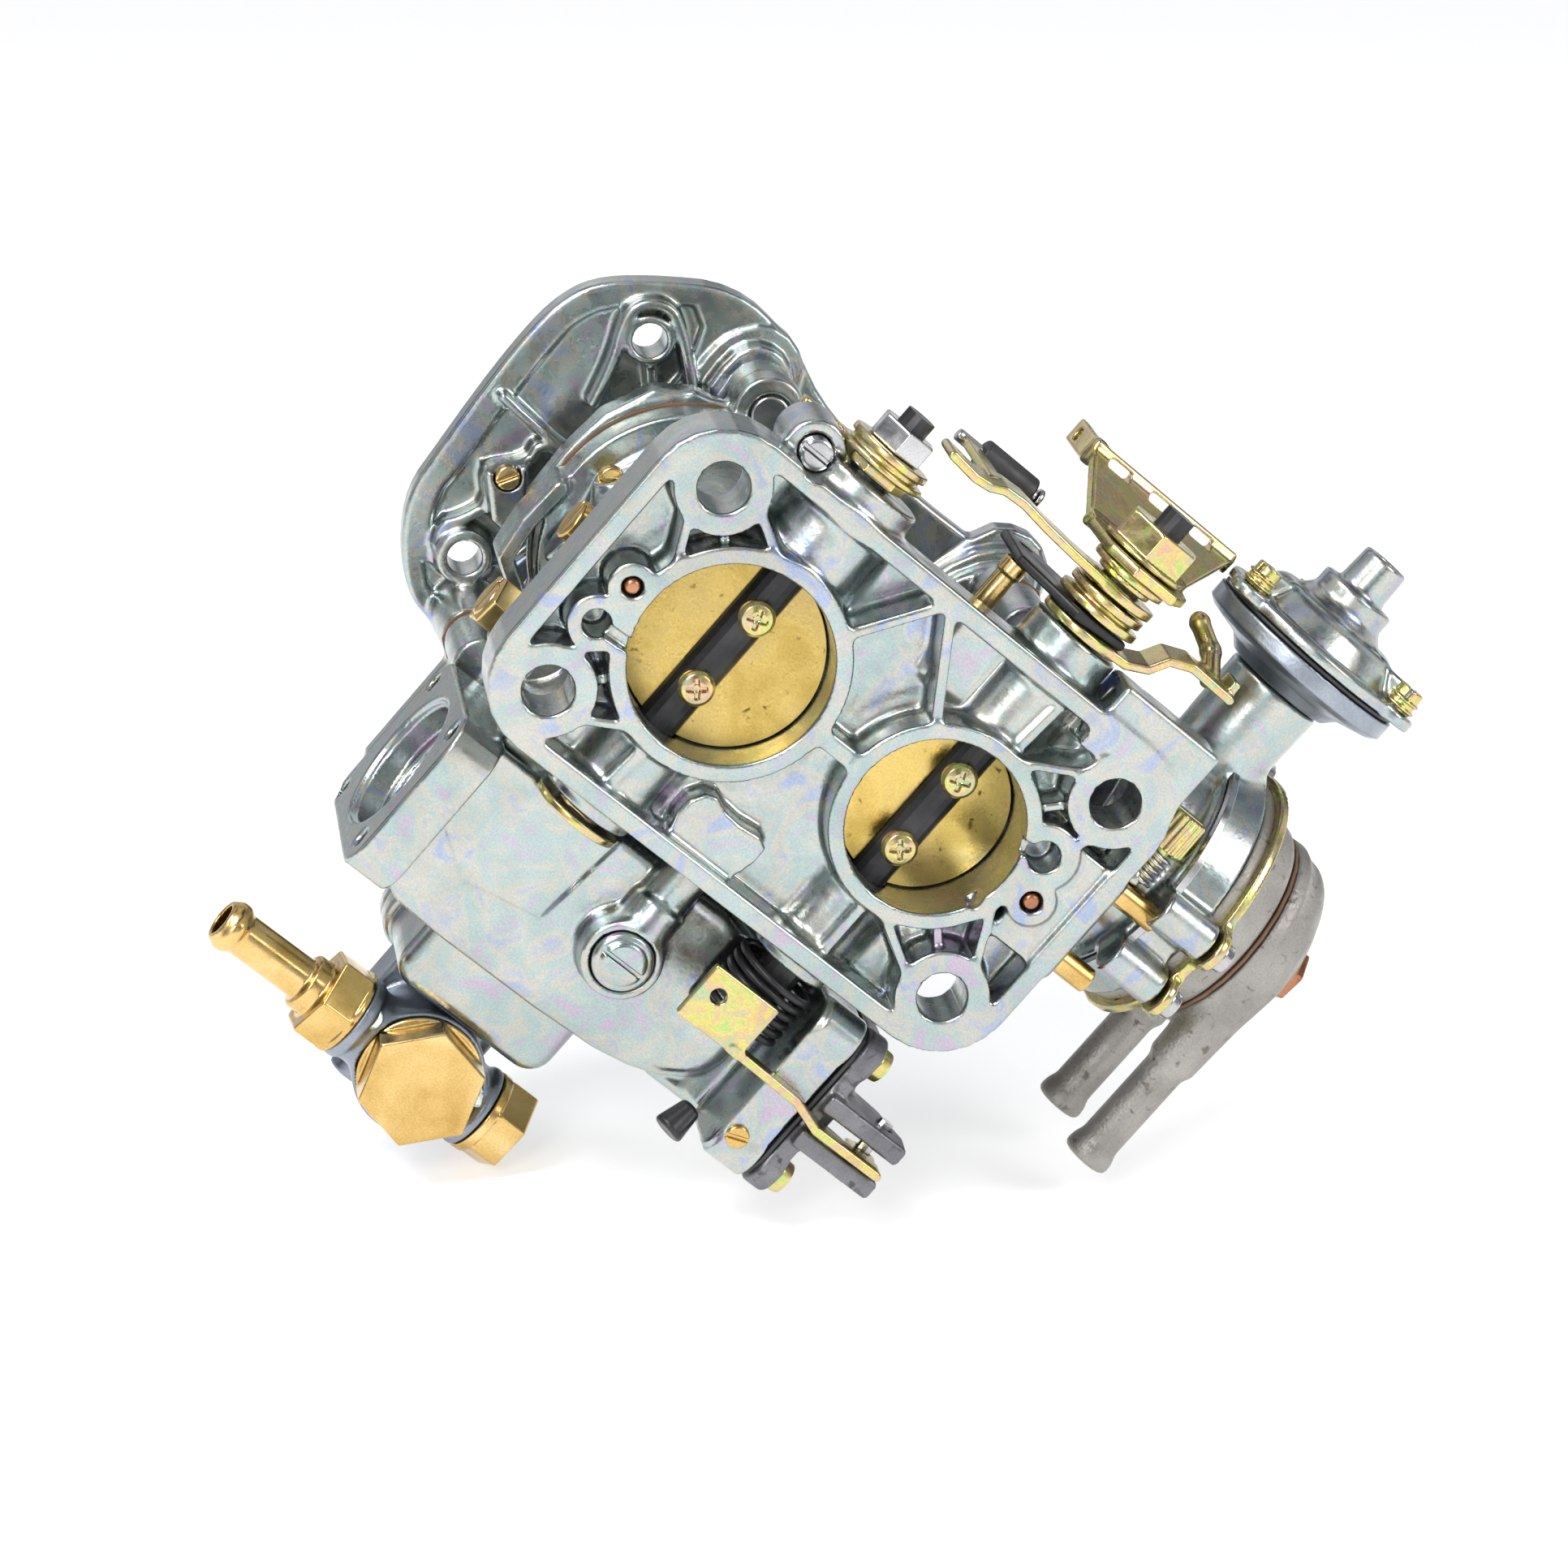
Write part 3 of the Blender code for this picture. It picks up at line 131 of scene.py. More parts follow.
def block(low, high, radius=0.6):
    """A box between two corners."""
    middle = [(low[i] + high[i]) / 2 for i in range(3)]
    half = [(high[i] - low[i]) / 2 - radius for i in range(3)]

    def distance(p):
        q = [np.abs(p[i] - middle[i]) - half[i] for i in range(3)]
        outside = np.sqrt(sum(np.maximum(side, 0) ** 2 for side in q))
        return outside + np.minimum(np.maximum(np.maximum(q[0], q[1]), q[2]), 0) - radius

    return Shape(low, high, distance)


def bar(start, end, first, last=None, rim=0.4):
    """A round bar or cone between two points, with the size at each end and the radius of its rim."""
    last = first if last is None else last
    a = np.array(start, float)
    run = np.array(end, float) - a
    length = float(np.linalg.norm(run))
    way = run / length
    widest = max(first, last)

    def distance(p):
        q = [p[i] - a[i] for i in range(3)]
        along = q[0] * way[0] + q[1] * way[1] + q[2] * way[2]
        square = q[0] ** 2 + q[1] ** 2 + q[2] ** 2 - along ** 2
        side = np.sqrt(np.maximum(square, 0)) - (first + (last - first) * np.clip(along / length, 0, 1))
        return shell_of(side, np.abs(along - length / 2) - length / 2, rim)

    reach = [widest * math.sqrt(max(0, 1 - way[i] ** 2)) for i in range(3)]
    return Shape([min(start[i], end[i]) - reach[i] for i in range(3)],
                 [max(start[i], end[i]) + reach[i] for i in range(3)], distance)


def bar_x(y, z, low, high, *sizes, **more):
    """A bar along X. The other two coordinates come first, here and in bar_y and bar_z."""
    return bar((low, y, z), (high, y, z), *sizes, **more)


def bar_y(x, z, low, high, *sizes, **more):
    return bar((x, low, z), (x, high, z), *sizes, **more)


def bar_z(x, y, low, high, *sizes, **more):
    return bar((x, y, low), (x, y, high), *sizes, **more)


def ball(centre, size):
    """A sphere."""
    def distance(p):
        return np.sqrt(sum((p[i] - centre[i]) ** 2 for i in range(3))) - size

    return Shape([c - size for c in centre], [c + size for c in centre], distance)


def spin(profile, axis, centre):
    """A closed (radius, height) outline turned about X, Y or Z, with heights along that axis."""
    c = "XYZ".index(axis)
    a, b = [i for i in range(3) if i != c]
    points = list(profile)

    def distance(p):
        out = np.sqrt((p[a] - centre[a]) ** 2 + (p[b] - centre[b]) ** 2)
        return outline_distance(out, p[c] + 0 * out, points)

    widest = max(q[0] for q in points)
    lows, highs = [0] * 3, [0] * 3
    lows[c], highs[c] = min(q[1] for q in points), max(q[1] for q in points)
    for i in (a, b):
        lows[i], highs[i] = centre[i] - widest, centre[i] + widest
    return Shape(lows, highs, distance)


def placed(shape, matrix):
    """A shape moved and turned by a matrix."""
    back = np.array(matrix.inverted())
    corners = [matrix @ Vector(c) for c in product(*zip(shape.low, shape.high))]

    def distance(p):
        q = [back[i][0] * p[0] + back[i][1] * p[1] + back[i][2] * p[2] + back[i][3] for i in range(3)]
        return shape.distance(q)

    return Shape([min(c[i] for c in corners) for i in range(3)],
                 [max(c[i] for c in corners) for i in range(3)], distance)


def rounded(half_x, half_y, radius, centre=(0, 0)):
    points = []
    for quarter, (sx, sy) in enumerate(((1, 1), (-1, 1), (-1, -1), (1, -1))):
        for step in range(7):
            angle = math.pi / 2 * (quarter + step / 6)
            points.append((centre[0] + sx * (half_x - radius) + radius * math.cos(angle),
                           centre[1] + sy * (half_y - radius) + radius * math.sin(angle)))
    return points


def smooth(points, rounds=2, closed=True):
    """Cut the corners of a line twice over, which leaves a flowing outline."""
    for _ in range(rounds):
        pairs = list(zip(points, points[1:] + (points[:1] if closed else [])))
        cut = []
        for (ax, ay), (bx, by) in pairs:
            cut += [(0.75 * ax + 0.25 * bx, 0.75 * ay + 0.25 * by),
                    (0.25 * ax + 0.75 * bx, 0.25 * ay + 0.75 * by)]
        points = cut if closed else [points[0]] + cut + [points[-1]]
    return points


def around(u, v, reach, angles):
    """Points on a circle, at angles in degrees."""
    turns = [math.radians(angle) for angle in angles]
    return [(u + reach * math.cos(t), v + reach * math.sin(t)) for t in turns]


def polygon(sides, across_flats, centre=(0, 0), phase=0):
    reach = across_flats / 2 / math.cos(math.pi / sides)
    return [(centre[0] + reach * math.cos(phase + math.tau * k / sides),
             centre[1] + reach * math.sin(phase + math.tau * k / sides)) for k in range(sides)]


class Casting:
    """A grid of distances that shapes are added to and cut from, each with its own fillet."""

    def __init__(self, low, high, cell):
        self.low = np.array(low, np.float32)
        self.cell = cell
        self.axes = [np.arange(low[i], high[i] + cell, cell, dtype=np.float32) for i in range(3)]
        self.field = np.full([len(a) for a in self.axes], 4, np.float32)

    def window(self, shape, pad):
        """The part of the grid that a shape can change, and its coordinates."""
        where, grids = [], []
        for i in range(3):
            count = len(self.axes[i])
            first = max(int((shape.low[i] - pad - self.low[i]) / self.cell), 0)
            last = min(int((shape.high[i] + pad - self.low[i]) / self.cell) + 2, count)
            if last <= first:
                return None, None
            where.append(slice(first, last))
            form = [1, 1, 1]
            form[i] = last - first
            grids.append(self.axes[i][first:last].reshape(form))
        return tuple(where), grids

    def merge(self, shapes, blend, sign):
        """Join shapes (sign 1) or cut them away (sign -1) with a fillet of the blend's size."""
        for shape in shapes:
            where, grids = self.window(shape, blend + 2.5 * self.cell)
            if where is None:
                continue
            old = self.field[where]
            new = np.broadcast_to(shape.distance(grids), old.shape).astype(np.float32)
            fillet = np.maximum(blend - np.abs(old - sign * new), 0) ** 2 / (4 * blend)
            if sign > 0:
                self.field[where] = np.minimum(old, new) - fillet
            else:
                self.field[where] = np.maximum(old, -new) + fillet

    def add(self, *shapes, blend=1.2):
        self.merge(shapes, blend, 1)

    def cut(self, *shapes, blend=0.3):
        self.merge(shapes, blend, -1)

    def skin(self):
        """One vertex in each cell the surface crosses, one face for each grid edge that it cuts."""
        f = self.field
        inside = f < 0
        size = [n - 1 for n in f.shape]

        def corner(grid, offset):
            return grid[tuple(slice(offset[i], offset[i] + size[i]) for i in range(3))]

        count = np.zeros(size, np.int8)
        for offset in product((0, 1), repeat=3):
            count += corner(inside, offset)
        active = (count > 0) & (count < 8)
        cells = np.argwhere(active)
        index = np.full(size, -1, np.int32)
        index[active] = np.arange(len(cells), dtype=np.int32)
        total = np.zeros((len(cells), 3))
        hits = np.zeros(len(cells))
        for axis in range(3):
            others = [i for i in range(3) if i != axis]
            for first, second in product((0, 1), repeat=2):
                offset = [0, 0, 0]
                offset[others[0]], offset[others[1]] = first, second
                ahead = list(offset)
                ahead[axis] = 1
                near = corner(f, offset)[active]
                far = corner(f, ahead)[active]
                crossed = (near < 0) != (far < 0)
                part = near[crossed] / (near[crossed] - far[crossed])
                spot = np.tile(np.array(offset, float), (int(crossed.sum()), 1))
                spot[:, axis] = part
                total[crossed] += spot
                hits[crossed] += 1
        corners = self.low + self.cell * (cells + total / hits[:, None])
        faces = []
        for axis in range(3):
            b, c = (axis + 1) % 3, (axis + 2) % 3
            near, far = [slice(1, -1)] * 3, [slice(1, -1)] * 3
            near[axis], far[axis] = slice(0, -1), slice(1, None)
            crossed = inside[tuple(near)] != inside[tuple(far)]
            spots = np.argwhere(crossed)
            spots[:, [b, c]] += 1
            outward = inside[tuple(spots.T)]
            ring = []
            for back_b, back_c in ((1, 1), (0, 1), (0, 0), (1, 0)):
                cell = spots.copy()
                cell[:, [b, c]] -= (back_b, back_c)
                ring.append(index[tuple(cell.T)])
            quads = np.stack(ring, axis=1)
            quads[~outward] = quads[~outward][:, ::-1]
            faces.append(quads)
        return corners, np.concatenate(faces)

    def slopes(self, corners):
        """Surface normals read from the field, so that shading is smoother than the grid."""
        place = (corners - self.low) / self.cell
        steps = []
        for shift in np.eye(3) * SLOPE_STEP:
            steps.append(self.sample(place + shift) - self.sample(place - shift))
        normals = np.stack(steps, axis=1)
        return normals / np.maximum(np.linalg.norm(normals, axis=1), 1e-9)[:, None]

    def sample(self, place):
        """The field between its grid points."""
        limits = np.array(self.field.shape) - 2
        base = np.clip(np.floor(place).astype(int), 0, limits)
        part = place - base
        value = np.zeros(len(place))
        for offset in product((0, 1), repeat=3):
            weight = np.ones(len(place))
            for i in range(3):
                weight = weight * (part[:, i] if offset[i] else 1 - part[:, i])
            value += weight * self.field[tuple((base + offset).T)]
        return value

    def make(self, name, material, body, *nodes):
        corners, quads = self.skin()
        obj = mesh_object(name, corners, quads)
        obj.data.normals_split_custom_set_from_vertices(self.slopes(corners).tolist())
        fitted(obj, material, body, nodes)


# ---- mesh pieces ----
def mesh_object(name, corners, faces):
    """An object from corners in millimetres and lists of corner numbers."""
    mesh = bpy.data.meshes.new(name)
    corners = np.asarray(corners, float) * MM
    mesh.vertices.add(len(corners))
    mesh.vertices.foreach_set("co", corners.astype(np.float32).ravel())
    counts = np.array([len(face) for face in faces], np.int32)
    flat = np.concatenate(faces).astype(np.int32)
    mesh.loops.add(len(flat))
    mesh.loops.foreach_set("vertex_index", flat)
    mesh.polygons.add(len(counts))
    mesh.polygons.foreach_set("loop_start", np.concatenate(([0], np.cumsum(counts)[:-1])).astype(np.int32))
    mesh.update(calc_edges=True)
    mesh.validate()
    mesh.shade_smooth()
    obj = bpy.data.objects.new(name, mesh)
    bpy.context.scene.collection.objects.link(obj)
    return obj


def fitted(obj, material, body, nodes=()):
    """Give a piece its material and body, and hide the CAD nodes that it stands for."""
    obj.data.materials.append(FINISH[material])
    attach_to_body(obj, body)
    if nodes:
        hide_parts(*nodes)


def hoop(name, profile, centre, material, body, sides=120):
    """A closed (radius, x) outline turned about a line along X."""
    turn = Vector((1, 0, 0)).to_track_quat("Z", "Y").to_matrix().to_4x4()
    place = Matrix.Translation(Vector(centre)) @ turn
    ring = [(math.cos(math.tau * k / sides), math.sin(math.tau * k / sides)) for k in range(sides)]
    corners = [place @ Vector((radius * c, radius * s, height))
               for radius, height in profile for c, s in ring]
    faces = []
    for row, k in product(range(len(profile)), range(sides)):
        first, second = row * sides, (row + 1) % len(profile) * sides
        after = (k + 1) % sides
        faces.append([first + k, first + after, second + after, second + k])
    obj = mesh_object(name, corners, faces)
    obj.data.set_sharp_from_angle(angle=math.radians(SHARP))
    soften(obj, 0.12, SHARP, True)
    fitted(obj, material, body)


def soften(obj, width, angle, harden):
    """A small bevel on the sharp edges."""
    bevel = obj.modifiers.new("edges", "BEVEL")
    bevel.width = width * MM
    bevel.segments = 2
    bevel.limit_method = "ANGLE"
    bevel.angle_limit = math.radians(angle)
    bevel.harden_normals = harden


def tube_faces(rings, sides):
    """Quads between rings of corners, with a face on either end."""
    faces = []
    for first, k in product(range(0, (rings - 1) * sides, sides), range(sides)):
        after = (k + 1) % sides
        faces.append([first + k, first + after, first + sides + after, first + sides + k])
    return faces + [list(range(sides))[::-1], [(rings - 1) * sides + k for k in range(sides)]]


def sweep(name, path, radius, material, body, *nodes):
    """A round wire along a line of points."""
    points = [Vector(p) for p in path]
    corners = []
    normal = (points[1] - points[0]).orthogonal().normalized()
    count = len(points)
    for i, point in enumerate(points):
        tangent = (points[min(i + 1, count - 1)] - points[max(i - 1, 0)]).normalized()
        normal = (normal - tangent * normal.dot(tangent)).normalized()
        across = tangent.cross(normal)
        for k in range(WIRE_SIDES):
            angle = math.tau * k / WIRE_SIDES
            corners.append(point + radius * (math.cos(angle) * normal + math.sin(angle) * across))
    fitted(mesh_object(name, corners, tube_faces(count, WIRE_SIDES)), material, body, nodes)


def coil(centre, radius, start, end, turns):
    """Points of a coil wound about a line along Y."""
    count = int(turns * COIL_STEPS)
    points = []
    for k in range(count + 1):
        angle = math.tau * k / COIL_STEPS
        points.append((centre[0] + radius * math.cos(angle), start + (end - start) * k / count,
                       centre[1] + radius * math.sin(angle)))
    return points


# ---- finishes ----
# Noise sizes: the fine mottle, the dirt spots and the wear that changes the gloss.
FINE, SPOTS, WEAR = 2600, 420, 240
FINISH = {}


def node_maker(material):
    """A function that adds a node to a material or world, sets its sockets by name and returns it."""
    material.use_nodes = True
    tree = material.node_tree

    def make(kind, **values):
        node = tree.nodes.new("ShaderNode" + kind)
        for name, value in values.items():
            attach(tree, node.inputs[name.replace("_", " ")], value)
        return node

    return make


def attach(tree, socket, value):
    """Link an output to a socket, or set the socket to a value."""
    if isinstance(value, bpy.types.NodeSocket):
        tree.links.new(value, socket)
    else:
        socket.default_value = value


def ramp(make, source, points):
    """Colours along a factor, from (place, colour) pairs."""
    node = make("ValToRGB", Fac=source)
    while len(node.color_ramp.elements) < len(points):
        node.color_ramp.elements.new(0.5)
    for element, (place, colour) in zip(node.color_ramp.elements, points):
        element.position = place
        element.color = (*colour, 1)
    return node.outputs["Color"]


def mixed(make, factor, first, second, kind="MIX"):
    """One colour laid over another by a factor."""
    node = make("Mix")
    node.data_type = "RGBA"
    node.blend_type = kind
    for index, value in ((0, factor), (6, first), (7, second)):
        attach(node.id_data, node.inputs[index], value)
    return node.outputs[2]


def finish_material(name, stops, metal, rough, spread, drift, grain=900, relief=0.12, tint=None, dirt=None):
    """A metal or stone finish: a colour drift over millimetres, a fine grain and a worn roughness."""
    mat = bpy.data.materials.new(name)
    make = node_maker(mat)
    coord = make("TexCoord")

    def noise(size, detail, distort=0):
        return make("TexNoise", Scale=size, Detail=detail, Distortion=distort,
                    Vector=coord.outputs["Object"]).outputs["Fac"]

    places = [0.32 + 0.36 * k / (len(stops) - 1) for k in range(len(stops))]
    colour = ramp(make, noise(drift, 3, 0.6), list(zip(places, stops)))
    if tint:
        film = ramp(make, noise(drift * 3.1, 4, 1.2), list(zip(places, tint)))
        colour = mixed(make, 0.55, colour, film)
    fine = ramp(make, noise(FINE, 2), [(0.35, (0.86,) * 3), (0.65, (1,) * 3)])
    colour = mixed(make, 1, colour, fine, "MULTIPLY")
    if dirt:
        amount, shade = dirt
        spots = ramp(make, noise(SPOTS, 6, 0.5),
                     [(0.60 - amount, (0,) * 3), (0.70 - amount * 0.5, (1,) * 3)])
        dark = make("RGB").outputs[0]
        dark.default_value = (*shade, 1)
        colour = mixed(make, spots, colour, dark)
    worn = make("MapRange", From_Min=0.3, From_Max=0.7, To_Min=rough - spread, To_Max=rough + spread)
    tree = mat.node_tree
    tree.links.new(noise(WEAR, 5, 0.4), worn.inputs["Value"])
    bump = make("Bump", Strength=relief, Distance=0.0003)
    tree.links.new(noise(grain, 4), bump.inputs["Height"])
    for name_in, value in (("Metallic", metal), ("Base Color", colour), ("Roughness", worn.outputs[0]),
                           ("Normal", bump.outputs[0])):
        attach(tree, tree.nodes["Principled BSDF"].inputs[name_in], value)
    FINISH[name] = mat


def finishes():
    """Colour stops, metal, roughness, its spread, drift scale, grain scale and relief of each finish."""
    finish_material("cast", [(0.28, 0.30, 0.36), (0.37, 0.39, 0.45), (0.45, 0.46, 0.52), (0.35, 0.37, 0.43)],
                    0.97, 0.27, 0.08, 38, 1100, 0.12,
                    tint=[(0.50, 0.36, 0.47), (0.34, 0.49, 0.42), (0.54, 0.50, 0.36), (0.29, 0.38, 0.57)])
    finish_material("inlet", [(0.20, 0.23, 0.27), (0.27, 0.30, 0.35), (0.33, 0.36, 0.41)],
                    0.95, 0.36, 0.08, 70, 1300, 0.2)
    finish_material("rough", [(0.27, 0.255, 0.235), (0.35, 0.335, 0.31), (0.42, 0.40, 0.37)],
                    0.80, 0.48, 0.09, 55, 1500, 0.5, dirt=(-0.01, (0.16, 0.14, 0.12)))
    finish_material("dark", [(0.13, 0.13, 0.145), (0.19, 0.19, 0.205), (0.24, 0.24, 0.25)],
                    0.85, 0.42, 0.08, 70, 1300, 0.35, dirt=(-0.01, (0.08, 0.08, 0.08)))
    finish_material("brass", [(0.50, 0.31, 0.09), (0.66, 0.45, 0.17), (0.78, 0.58, 0.27)],
                    1, 0.22, 0.07, 60, 900, 0.05)
    finish_material("copper", [(0.30, 0.13, 0.07), (0.48, 0.23, 0.13)], 1, 0.30, 0.08, 200)
    finish_material("plate", [(0.52, 0.36, 0.09), (0.66, 0.48, 0.15), (0.58, 0.43, 0.16)],
                    0.97, 0.30, 0.07, 80, 1500, 0.10, dirt=(-0.05, (0.16, 0.10, 0.03)))
    finish_material("yellow", [(0.42, 0.35, 0.09), (0.60, 0.53, 0.17), (0.48, 0.53, 0.20),
        (0.60, 0.38, 0.21)], 0.97, 0.24, 0.07, 85, 1200, 0.08,
        tint=[(0.38, 0.56, 0.20), (0.66, 0.56, 0.18), (0.66, 0.36, 0.32), (0.32, 0.48, 0.36)])
    finish_material("bright", [(0.42, 0.42, 0.43), (0.58, 0.58, 0.58)], 1, 0.22, 0.07, 90, 900, 0.06)
    finish_material("black", [(0.012, 0.012, 0.013), (0.024, 0.024, 0.026), (0.045, 0.042, 0.044)],
                    0.45, 0.36, 0.08, 90, 1300, 0.12)
    finish_material("gasket", [(0.13, 0.065, 0.035), (0.22, 0.12, 0.07)], 0, 0.75, 0.1, 120, 2200, 0.4)
    finish_material("rubber", [(0.014, 0.014, 0.015), (0.03, 0.03, 0.032)], 0, 0.45, 0.1, 120)
    finish_material("plastic", [(0.03, 0.03, 0.032), (0.06, 0.06, 0.064)], 0, 0.45, 0.1, 90)


# ---- castings ----
def flange(body):
    """The hollow underside: rim, bore rings, stud bosses, ribs, vacuum ports and the cast lug."""
    rim = rounded(57.3, 34.2, 14)
    body.add(slab(rim, "Z", 0, 12.5, 0.5))
    body.cut(slab(rounded(53.6, 30.5, 10.6), "Z", -3, 9, 0.5), blend=0.8)
    rings = [bar_z(SX, 0, 0, 12, 21.2, rim=0.3), bar_z(PX, 0, 0, 12, 19, rim=0.3)]
    body.add(*rings, blend=2)
    for x, y in STUDS:
        body.add(bar_z(x, y, 0, 12, 8.6, rim=0.3), blend=1.5)
        bore = Vector((SX if x < 0 else PX, 0)) - Vector((x, y))
        way = bore.normalized()
        side = Vector((-way.y, way.x))
        for offset, spread, reach, top in ((-4.6, -9.8, 17, 0.3), (0, 0, 13, 2.4), (4.6, 9.8, 17, 0.3)):
            start = Vector((x, y)) + offset * side
            end = Vector((x, y)) + spread * side + reach * way
            body.add(fence([tuple(start), tuple(end)], 1.7, top, 10.5, 0.4), blend=1.1)
    for spot, size in (((42.2, -7.8), 6.2), ((37.6, 5.9), 3.9), ((46.1, -0.1), 4.2), ((-46.2, 0), 4.4),
            ((-46.8, 8.7), 5.2)):
        body.add(bar_z(*spot, 0, 11, size, rim=0.4), blend=0.8)
    body.add(fence([(46.1, -0.1), (38, 0.5)], 6.4, 0, 10.5, 0.4),
        fence([(42.2, -7.8), (36, -3)], 8, 0, 10.5, 0.4), fence([(-46.2, 0), (-41, 0.5)], 5.4, 0, 10.5, 0.4),
        fence([(-46.8, 8.7), (-40, 7.4)], 6.6, 0, 10.5, 0.4), blend=1)
    body.add(fence([(-1.2, -32), (-12, -16)], 2, 0.3, 10.8), fence([(-1.2, -32), (10.5, -15)], 2, 0.3, 10.8),
        fence([(-4, 0), (6, 0)], 3.4, 0.3, 10.8), fence([(-26, -31), (-25, -19)], 1.8, 2.5, 10.8),
        fence([(27, -31), (26, -18)], 1.8, 2.5, 10.8), fence([(-26, 31), (-25, 19)], 1.8, 2.5, 10.8),
        fence([(24, 31), (24, 17)], 1.8, 2.5, 10.8), blend=1.4)
    lug = [(-13.4, 24.7), (-10.5, 19.5), (-4.8, 21.7), (3.7, 20.7), (3.9, 26.3), (1, 33), (-11, 33)]
    body.add(slab(smooth(lug, 1), "Z", 3, 10.8, 0.6), blend=1.5)


def flange_holes(body):
    for x, y in STUDS:
        body.cut(bar_z(x, y, -2, 16, 4.5), blend=0.5)
        body.cut(bar_z(x, y, 12.5, 34, 9.2), blend=0.5)
    body.cut(bar_z(-46.2, 0, -2, 4, 1.9), bar_z(-46.8, 8.7, -2, 9, 2.5), blend=0.3)
    body.cut(fence([(-46.8, 8.7), (-38, 8.2)], 2.2, -1, 2.2, 0.2), blend=0.3)
    body.cut(bar_z(42.2, -7.8, -2, 8, 2.9), block((36, 4.4, -2), (39, 7.4, 5), 0.8),
        bar_z(46.1, -0.1, -2, 4, 2), blend=0.3)
    body.cut(fence([(42.2, -7.8), (34.5, -6)], 2.4, -1, 2.4, 0.2), blend=0.3)


def bowl_outline(grow):
    return [(-42 - grow, 38 - grow), (-42 - grow, 66.5), (-40 - grow * 0.6, 71 + grow * 0.5),
        (-35, 73.5 + grow), (6, 73.5 + grow), (20, 71 + grow), (28, 66 + grow), (30 + grow, 59.5),
        (30 + grow, 38 - grow)]


def bowl(body):
    """The float bowl with its deep end, side window and drain boss."""
    body.add(slab(smooth(bowl_outline(0), 1), "Z", 17, DECK, 3), blend=2)
    deep = rounded(17.5, 14, 5, DEEP_END)
    body.add(slab(deep, "Z", 40, DECK, 3.2), block((-41, 18, 22), (27, 41, 66.5), 1.5), blend=2.5)
    body.add(slab(bowl_outline(2.2), "Z", 62.5, DECK, 0.6),
        slab(rounded(19.2, 15, 6, DEEP_END), "Z", 62.5, DECK, 0.6), blend=1.2)
    pad = rounded(17, 20, 6, (55.5, 32))
    body.add(slab(pad, "X", -49, -40, 0.5), blend=1.5)
    body.cut(bar_x(55.5, 32, -50, -43.5, 12.5), blend=0.4)
    body.cut(bar_x(55.5, 32, -50, -48, 13.4, rim=0.2), bar_x(55.5, 32, -45, -42.2, 10.6), blend=0.5)
    for y, z in ((43.9, 48.4), (69.5, 48.4), (42.4, 17.6), (67.3, 17.6)):
        body.cut(bar_x(y, z, -50, -43, 1.7), blend=0.4)
    body.add(bar_z(0, 55, 10.5, 20, 7.4, 8.2, 0.6), bar_y(0, 16, 30, 52, 4.6), blend=1.5)
    body.add(slab([(-39.5, 39.5), (-39.5, 56), (-30, 62), (-15, 59), (-13, 39.5)], "Z", 16.2, 20, 0.7),
        blend=1.4)
    body.add(bar((0, 44, 15.4), (0, 54, 13.4), 5), blend=1.5)
    body.cut(bar_z(0, 55, 8, 16.8, 5.8), bar_y(0, 16, 28, 36, 2.2), blend=0.3)


def pump_side(body):
    housing = rounded(17.5, 17.5, 5, (55, 23))
    body.add(slab(housing, "X", 33, 42, 0.6), block((20, 38.4, 21.5), (34, 71.6, 38), 2), blend=1.6)
    for y, z in PUMP_CORNERS:
        body.add(bar_x(y, z, 34, 42, 4.6, rim=0.5), blend=1)
    body.cut(bar_x(55, 23, 36, 43, 12), blend=0.3)


